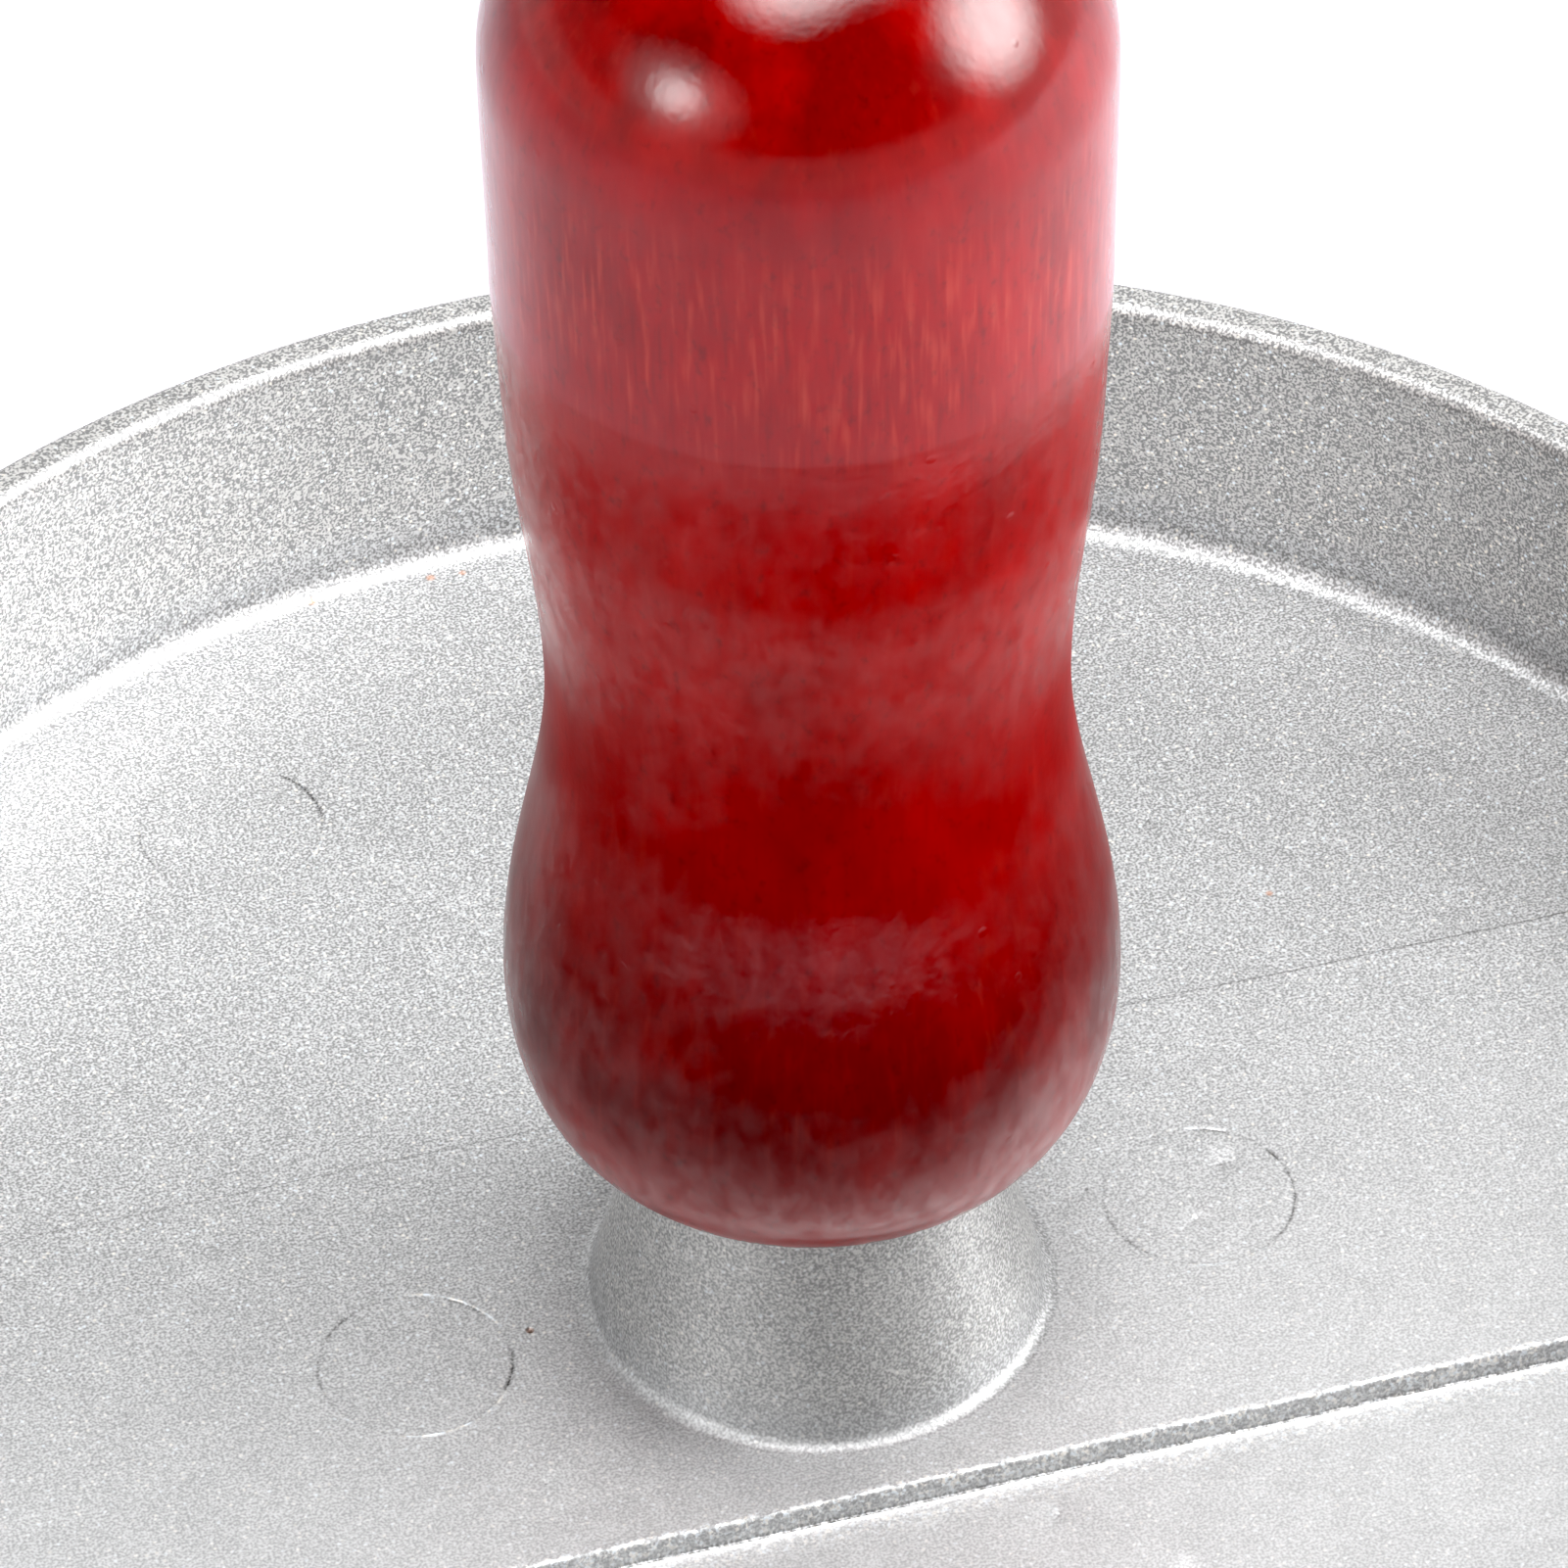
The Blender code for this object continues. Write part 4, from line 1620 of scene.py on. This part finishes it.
@dataclass
class TurnedHandle:
    """The turned wooden handle, grown from the rule of its stretches."""

    varnish: RedVarnish
    bare: RawWood
    end_radius: float = 9.7 * MM
    bulb_radius: float = 13.6 * MM
    bulb_height: float = 7.8 * MM
    neck_length: float = 17.0 * MM
    waist_radius: float = 11.3 * MM
    flare_length: float = 14.5 * MM
    throat_radius: float = 12.6 * MM
    taper_length: float = 7.5 * MM
    grip_radius: float = 12.96 * MM
    grip_length: float = 11.2 * MM
    shoulder_radius: float = 13.1 * MM
    flare_turn: float = 0.85
    ring_depth: float = 0.004 * MM
    ring_pitch: float = 1.6 * MM
    seed: int = 7
    sides: int = 192
    rows: int = 64
    hole_radius: float = 3.3 * MM
    insert_radius: float = 4.9 * MM
    flange_radius: float = 6.1 * MM
    flange_depth: float = 1.3 * MM
    insert_depth: float = 14.3 * MM
    hole_depth: float = 18.1 * MM
    span: Span = field(default_factory=lambda: Span.of("handle"))

    def stretches(self) -> list[tuple[str, float, float]]:
        """The outside's stretches, upwards from the hole's edge.

        Returns:
            Each stretch's name, its length along the axis and the radius that it ends on.
        """
        lengths = (self.bulb_height, self.neck_length, self.flare_length, self.taper_length, self.grip_length)
        dome = self.span.top - self.span.base - sum(lengths)
        return [
            ("End", 0.0, self.end_radius),
            ("Bulb", self.bulb_height, self.bulb_radius),
            ("Waist", self.neck_length, self.waist_radius),
            ("Throat", self.flare_length, self.throat_radius),
            ("Grip", self.taper_length, self.grip_radius),
            ("Shoulder", self.grip_length, self.shoulder_radius),
            ("Dome", dome, 0.0),
        ]

    def inputs(self, material: Material) -> dict[str, Any]:
        """The tree's named inputs.

        Args:
            material: The varnish.

        Returns:
            Each input's value.
        """
        inputs: dict[str, Any] = {"Hole Radius": self.flange_radius}
        for name, length, radius in self.stretches():
            inputs[f"{name} Length"] = length
            inputs[f"{name} Radius"] = radius
        return inputs | {
            "Base": self.span.base,
            "Flare Turn": self.flare_turn,
            "Ring Depth": self.ring_depth,
            "Ring Pitch": self.ring_pitch,
            "Seed": self.seed,
            "Sides": self.sides,
            "Rows": self.rows,
            "Material": material,
        }

    @staticmethod
    def ease(tree: GrowthTree, share: Feed, turn: Feed) -> Socket:
        """An easing from 0 to 1 that starts level and ends level or, with a shorter turn, rising.

        Args:
            tree: The tree.
            share: How far along the stretch the point is.
            turn: How much of a half wave the easing takes.

        Returns:
            The eased share.
        """
        half_wave = tree.times(turn, math.pi)
        swung = tree.minus(1.0, tree.math("COSINE", tree.times(share, half_wave)))
        return tree.math("DIVIDE", swung, tree.minus(1.0, tree.math("COSINE", half_wave)))

    def outline(self, tree: GrowthTree, row: Socket) -> tuple[Socket, Socket]:
        """The handle's outline, as the stretches give it.

        Args:
            tree: The handle's tree.
            row: The number of the point's row, upwards from the hole's edge.

        Returns:
            The radius and the height of the row.
        """
        given, choose = tree.given, tree.choose
        names = [name for name, _, _ in self.stretches()]
        along = tree.math("DIVIDE", row, given("Rows"))
        stretch = tree.math("MINIMUM", tree.math("FLOOR", tree.plus(along, 0.0001)), len(names) - 1.0)
        share = tree.minus(along, stretch)
        quarter = tree.times(share, math.pi / 2)
        rising = tree.math("SINE", quarter)
        falling = tree.minus(1.0, tree.math("COSINE", quarter))
        ease = self.ease(tree, share, 1.0)
        flare = self.ease(tree, share, given("Flare Turn"))
        radii: list[Feed] = [given("Hole Radius"), *(given(f"{name} Radius") for name in names)]
        heights: list[Feed] = [0.0]
        for name in names:
            heights.append(tree.plus(heights[-1], given(f"{name} Length")))
        radius_shares = [share, rising, ease, flare, share, ease, falling]
        height_shares = [share, falling, share, share, share, share, rising]
        found = []
        for values, shares in ((radii, radius_shares), (heights, height_shares)):
            start, end = choose(stretch, values[:-1]), choose(stretch, values[1:])
            found.append(tree.plus(start, tree.times(tree.minus(end, start), choose(stretch, shares))))
        return found[0], found[1]

    def grow_outside(self, material: Material) -> Mesh:
        """Grows the outside from its stretches.

        Args:
            material: The varnish.

        Returns:
            The mesh of the outside, open at the hole.
        """
        tree = GrowthTree("turned_handle", self.inputs(material))
        given = tree.given
        columns = tree.plus(given("Sides"), 1.0)
        lines = tree.plus(tree.times(given("Rows"), float(len(self.stretches()))), 1.0)
        grid = tree.make("GeometryNodeMeshGrid", {"Vertices X": columns, "Vertices Y": lines})
        index = tree.make("GeometryNodeInputIndex")
        column = tree.math("FLOOR", tree.math("DIVIDE", tree.plus(index, 0.5), lines))
        radius, height = self.outline(tree, tree.math("MODULO", index, lines))
        drawn = tree.plus(tree.math("DIVIDE", height, given("Ring Pitch")), given("Seed"))
        pattern = {"W": drawn, "Scale": 1.0, "Detail": 2.0}
        marks = tree.make("ShaderNodeTexNoise", pattern, noise_dimensions="1D")
        mark = tree.times(tree.minus(marks, 0.5), given("Ring Depth"))
        turned = tree.plus(radius, tree.times(mark, tree.ramp(radius, 2.0 * MM, 7.0 * MM)))
        angle = tree.times(tree.math("DIVIDE", column, given("Sides")), 2 * math.pi)
        place = tree.join(
            tree.times(turned, tree.math("COSINE", angle)),
            tree.times(turned, tree.math("SINE", angle)),
            tree.plus(height, given("Base")),
        )
        shaped = tree.make("GeometryNodeSetPosition", {"Geometry": grid, "Position": place})
        welded = tree.make("GeometryNodeMergeByDistance", {"Geometry": shaped, "Distance": 1e-6})
        return tree.grow("turned_handle", welded)

    def build(self) -> None:
        """Makes the handle and the bare wood in its hole."""
        varnish, bare = self.varnish.material(), self.bare.material()
        outside = self.grow_outside(varnish)
        base = self.span.base
        steps = [
            (self.flange_radius, self.flange_depth),
            (self.insert_radius, self.insert_depth),
            (self.hole_radius, self.hole_depth),
        ]
        profile = []
        depth = base
        for radius, end in steps:
            profile += [(radius, depth), (radius, base + end)]
            depth = base + end
        shell = Shell()
        shell.turn([*profile, (0.0, depth)], self.sides)
        bore = shell.mesh("handle_bore", bare)
        whole = weld("turned_handle", [(outside, varnish), (bore, bare)])
        place_piece(whole, "turned_handle", Body.HEAD, "red_varnish", ["handle"])


@dataclass(frozen=True)
class ThreadRidge:
    """A thread's ridge: a three-sided rod wound round the axis."""

    crest: float
    depth: float
    pitch: float
    base: float
    length: float
    steps: int = 32

    def grow(self, name: str, material: Material) -> Mesh:
        """Grows the ridge.

        Args:
            name: The ridge's name.
            material: Its metal.

        Returns:
            The mesh.
        """
        radius = self.depth * 2 / 3
        inputs = {
            "Turns": self.length / self.pitch,
            "Spine Radius": self.crest - radius,
            "Ridge Radius": radius,
            "Base": self.base,
            "Length": self.length,
            "Steps per Turn": self.steps,
            "Material": material,
        }
        tree = GrowthTree(name, inputs)
        given, make = tree.given, tree.make
        spiral = make(
            "GeometryNodeCurveSpiral",
            {
                "Resolution": given("Steps per Turn"),
                "Rotations": given("Turns"),
                "Start Radius": given("Spine Radius"),
                "End Radius": given("Spine Radius"),
                "Height": given("Length"),
            },
        )
        ridge = make("GeometryNodeCurvePrimitiveCircle", {"Resolution": 3, "Radius": given("Ridge Radius")})
        swept = make("GeometryNodeCurveToMesh", {"Curve": spiral, "Profile Curve": ridge, "Fill Caps": True})
        lift = tree.join(0.0, 0.0, given("Base"))
        mesh = tree.grow(name, make("GeometryNodeTransform", {"Geometry": swept, "Translation": lift}))
        recalculate(mesh)
        return mesh


@dataclass
class HandleFixing:
    """The stud, the insert and the washer that hold the handle on its boss."""

    steel: TurnedMetal
    brass: TurnedMetal
    washer: TurnedMetal
    stud_pitch: float = 1.0 * MM
    stud_thread: float = 0.55 * MM
    insert_pitch: float = 3.0 * MM
    insert_thread: float = 0.55 * MM
    insert_wall: float = 1.3 * MM
    flange_width: float = 1.2 * MM
    flange_thickness: float = 1.0 * MM
    washer_hole: float = 3.3 * MM
    washer_round: float = 0.2 * MM
    chamfer: float = 0.6 * MM
    sides: int = 96

    def build_stud(self) -> None:
        """Makes the stud: its core and its thread."""
        span = Span.of("handle_stud")
        metal = self.steel.material()
        core = span.radius - self.stud_thread
        profile = [
            (core - self.chamfer, span.base),
            (core, span.base + self.chamfer),
            (core, span.top - self.chamfer),
            (core - self.chamfer, span.top),
            (0.0, span.top),
        ]
        shell = Shell()
        shell.turn(profile, self.sides)
        shell.close(list(range(self.sides)), span.base)
        mesh = shell.mesh("stud_core", metal)
        place_piece(mesh, "stud_core", Body.HEAD, "stud_steel", ["handle_stud"])
        room = self.chamfer + self.stud_thread
        length = span.top - span.base - 2 * room
        thread = ThreadRidge(span.radius, self.stud_thread, self.stud_pitch, span.base + room, length)
        ridge = thread.grow("stud_thread", metal)
        place_piece(ridge, "stud_thread", Body.HEAD, "stud_steel", ["handle_stud"])

    def build_insert(self) -> None:
        """Makes the flanged insert and the coarse thread that bites the wood."""
        span = Span.of("threaded_insert")
        metal = self.brass.material()
        outer = span.radius - self.flange_width
        hole = outer - self.insert_wall
        body = outer - self.insert_thread
        shoulder = span.base + self.flange_thickness
        edge = self.chamfer / 3
        profile = [
            (hole, span.base),
            (span.radius - edge, span.base),
            (span.radius, span.base + edge),
            (span.radius, shoulder - edge),
            (span.radius - edge, shoulder),
            (body, shoulder),
            (body, span.top - edge),
            (body - edge, span.top),
            (hole, span.top),
        ]
        shell = Shell()
        shell.turn_whole(profile, self.sides)
        mesh = shell.mesh("insert_body", metal)
        place_piece(mesh, "insert_body", Body.HEAD, "insert_brass", ["threaded_insert"])
        room = self.insert_thread
        length = span.top - shoulder - 2 * room
        thread = ThreadRidge(outer, self.insert_thread, self.insert_pitch, shoulder + room, length)
        ridge = thread.grow("insert_thread", metal)
        place_piece(ridge, "insert_thread", Body.HEAD, "insert_brass", ["threaded_insert"])

    def build_washer(self) -> None:
        """Makes the washer, with its punched edges."""
        span = Span.of("seat_washer")
        r = self.washer_round
        profile = [
            *arc((span.radius - r, span.base + r), r, 270, 360, 4),
            *arc((span.radius - r, span.top - r), r, 0, 90, 4),
            (self.washer_hole, span.top),
            (self.washer_hole, span.base),
        ]
        shell = Shell()
        shell.turn_whole(profile, self.sides)
        mesh = shell.mesh("washer_ring", self.washer.material())
        place_piece(mesh, "washer_ring", Body.HEAD, "washer_steel", ["seat_washer"])

    def build(self) -> None:
        """Makes the whole fixing."""
        self.build_stud()
        self.build_insert()
        self.build_washer()


@dataclass(frozen=True)
class Light:
    """A soft light, placed round the object as the camera sees it.

    It shines in full over a share of its half width, and it faces an elevation of its own where it has one.
    """

    name: str
    azimuth: float
    elevation: float
    distance: float
    width: float
    height: float
    radiance: float
    facing: Optional[float] = None
    full: float = 0.15


@dataclass
class Studio:
    """The floor, the lights, the world and the camera."""

    camera_azimuth: float = -15.554
    camera_elevation: float = 42.106
    camera_roll: float = -1.0242
    camera_distance: float = 0.46769
    focal_length: float = 223.55
    sensor: float = 36.0
    clip: Band = (0.01, 20.0)
    aim: tuple[float, float, float] = (7.99 * MM, 32.82 * MM, 10.9 * MM)
    lights: tuple[Light, ...] = (
        Light("right_softbox", 92.0, 30.0, 0.66, 0.64, 0.64, 19.0),
        Light("left_softbox", -132.0, 30.0, 0.71, 0.32, 0.28, 12.0),
        Light("left_screen", -132.0, 30.0, 0.73, 0.80, 0.58, 2.1),
        Light("top_softbox", -165.0, 82.0, 0.81, 0.70, 0.70, 16.6, 89.9),
        Light("right_top_softbox", 90.0, 75.0, 0.81, 0.58, 0.70, 10.4, 89.9),
        Light("back_panel", 0.0, 25.0, 1.00, 1.40, 0.60, 1.0, full=1.0),
    )
    lit_height: float = 30.0 * MM
    wall_front: float = 0.38
    wall_back: float = 0.50
    skirt: float = 0.95
    ceiling: float = 0.04
    floor_half: float = 3.0
    floor_drop: float = 0.2 * MM
    floor_grain: float = 20.0 * MM
    floor_dark: Colour = (0.54, 0.525, 0.575)
    floor_pale: Colour = (0.57, 0.555, 0.605)
    floor_roughness: float = 0.8
    glow: Band = (0.35, 1.40)
    black_level: float = 0.020

    def direction(self, azimuth: float, elevation: float) -> Vector:
        """The unit vector towards degrees clockwise from the camera's way of looking and over the horizon."""
        a, e = math.radians(azimuth - self.camera_azimuth), math.radians(elevation)
        return Vector((math.sin(a) * math.cos(e), math.cos(a) * math.cos(e), math.sin(e)))

    def build_camera(self) -> None:
        """Places the camera at the photograph's angle."""
        back = self.direction(180.0, self.camera_elevation)
        right = (-back).cross(Vector((0.0, 0.0, 1.0))).normalized()
        up = right.cross(-back)
        roll = math.radians(self.camera_roll)
        across = right * math.cos(roll) + up * math.sin(roll)
        upright = up * math.cos(roll) - right * math.sin(roll)
        data = bpy.data.cameras.new("photo_camera")
        data.lens = self.focal_length
        data.sensor_width = self.sensor
        data.clip_start, data.clip_end = self.clip
        camera = add_object("photo_camera", data)
        turn = Matrix((across, upright, back)).transposed().to_4x4()
        camera.matrix_world = Matrix.Translation(Vector(self.aim) + back * self.camera_distance) @ turn
        bpy.context.scene.camera = camera

    def build_light(self, light: Light) -> None:
        """Places one soft light, facing the object.

        Args:
            light: The light's facts.
        """
        data = bpy.data.lights.new(light.name, "AREA")
        data.shape = "ELLIPSE"
        data.size, data.size_y = light.width, light.height
        data.energy = light.radiance * math.pi * math.pi / 4 * light.width * light.height
        if light.full < 1.0:
            self.soften(data, light.full)
        lamp = add_object(light.name, data)
        towards = self.direction(light.azimuth, light.elevation)
        lamp.location = towards * light.distance + Vector((0.0, 0.0, self.lit_height))
        back = self.direction(light.azimuth, light.elevation if light.facing is None else light.facing)
        lamp.rotation_mode = "QUATERNION"
        lamp.rotation_quaternion = back.to_track_quat("Z", "Y")

    @staticmethod
    def soften(data: bpy.types.AreaLight, full: float) -> None:
        """Makes a light fall off from its middle to its edge, as a real softbox does.

        Args:
            data: The light.
            full: The share of the half width that shines in full.
        """
        data.use_nodes = True
        data.node_tree.nodes.clear()
        sheet = NodeSheet(data.node_tree)
        across = sheet.add("ShaderNodeNewGeometry").outputs["Parametric"]
        middle = sheet.vector("SUBTRACT", across, (0.5, 0.5, 0.0))
        reach = sheet.vector("LENGTH", sheet.vector("MULTIPLY", middle, (1.0, 1.0, 0.0)))
        flash_and_highlight = sheet.add("ShaderNodeEmission", {"Strength": sheet.ramp(reach, full / 2, 0.5, 1.0, 0.0)})
        sheet.add("ShaderNodeOutputLight", {"Surface": flash_and_highlight.outputs[0]})

    def build_world(self) -> None:
        """Makes the world: a bright skirt round the floor, pale walls and a dim ceiling."""
        world = bpy.data.worlds.new("studio")
        world.use_nodes = True
        world.node_tree.nodes.clear()
        sheet = NodeSheet(world.node_tree)
        towards = sheet.add("ShaderNodeTexCoord").outputs["Generated"]
        facing = sheet.vector("DOT_PRODUCT", towards, tuple(self.direction(0.0, 10.0)))
        climb = sheet.add("ShaderNodeSeparateXYZ", {0: towards}).outputs[2]
        walls = sheet.ramp(facing, -0.75, 0.15, self.wall_front, self.wall_back)
        upper = sheet.times(walls, sheet.ramp(climb, 0.45, 0.85, 1.0, self.ceiling))
        strength = sheet.ramp(climb, 0.12, 0.22, self.skirt, upper)
        light = sheet.add("ShaderNodeBackground", {"Color": WHITE, "Strength": strength})
        sheet.add("ShaderNodeOutputWorld", {"Surface": light.outputs[0]})
        bpy.context.scene.world = world

    def build_floor(self) -> None:
        """Lays the pale floor, a sweep that glows far out so that it runs into the skirt."""
        sheet = ShaderSheet("floor_white")
        colour = sheet.mix(sheet.noise(self.floor_grain, detail=3.0), self.floor_dark, self.floor_pale)
        glow = sheet.ramp(sheet.vector("LENGTH", sheet.place), *self.glow, 0.0, self.skirt)
        looks = {"Base Color": colour, "Roughness": self.floor_roughness}
        half = self.floor_half
        mesh = bpy.data.meshes.new("studio_floor")
        corners = [(-half, -half, 0), (half, -half, 0), (half, half, 0), (-half, half, 0)]
        mesh.from_pydata(corners, [], [(0, 1, 2, 3)])
        mesh.materials.append(sheet.surface({**looks, "Emission Color": WHITE, "Emission Strength": glow}))
        floor = add_object("studio_floor", mesh)
        floor.location.z = -self.floor_drop

    def set_view(self) -> None:
        """Sets the plain view, with the photograph's black level."""
        view = bpy.context.scene.view_settings
        view.view_transform = "Standard"
        view.look = "None"
        view.use_curve_mapping = True
        view.curve_mapping.black_level = (self.black_level,) * 3
        view.curve_mapping.update()

    def build(self) -> None:
        """Sets the whole studio."""
        self.build_floor()
        self.build_world()
        for light in self.lights:
            self.build_light(light)
        self.build_camera()
        self.set_view()
        LOG.info("studio: %d lights", len(self.lights))


def main() -> None:
    """Builds the studio and every sub-assembly."""
    logging.basicConfig(level=logging.INFO, format="%(name)s %(message)s")
    Studio().build()
    MouldDish(SparkleCoating("mould_sparkle")).build()
    PressPlate(SparkleCoating("plate_sparkle")).build()
    TurnedHandle(RedVarnish("red_varnish"), RawWood("bare_beech")).build()
    steel = TurnedMetal("stud_steel", (0.62, 0.62, 0.63), (0.46, 0.46, 0.47))
    brass = TurnedMetal("insert_brass", (0.78, 0.58, 0.28), (0.60, 0.42, 0.18))
    washer = TurnedMetal("washer_steel", (0.68, 0.68, 0.69), (0.52, 0.52, 0.53), 0.22)
    HandleFixing(steel, brass, washer).build()


if __name__ == "__main__":
    main()
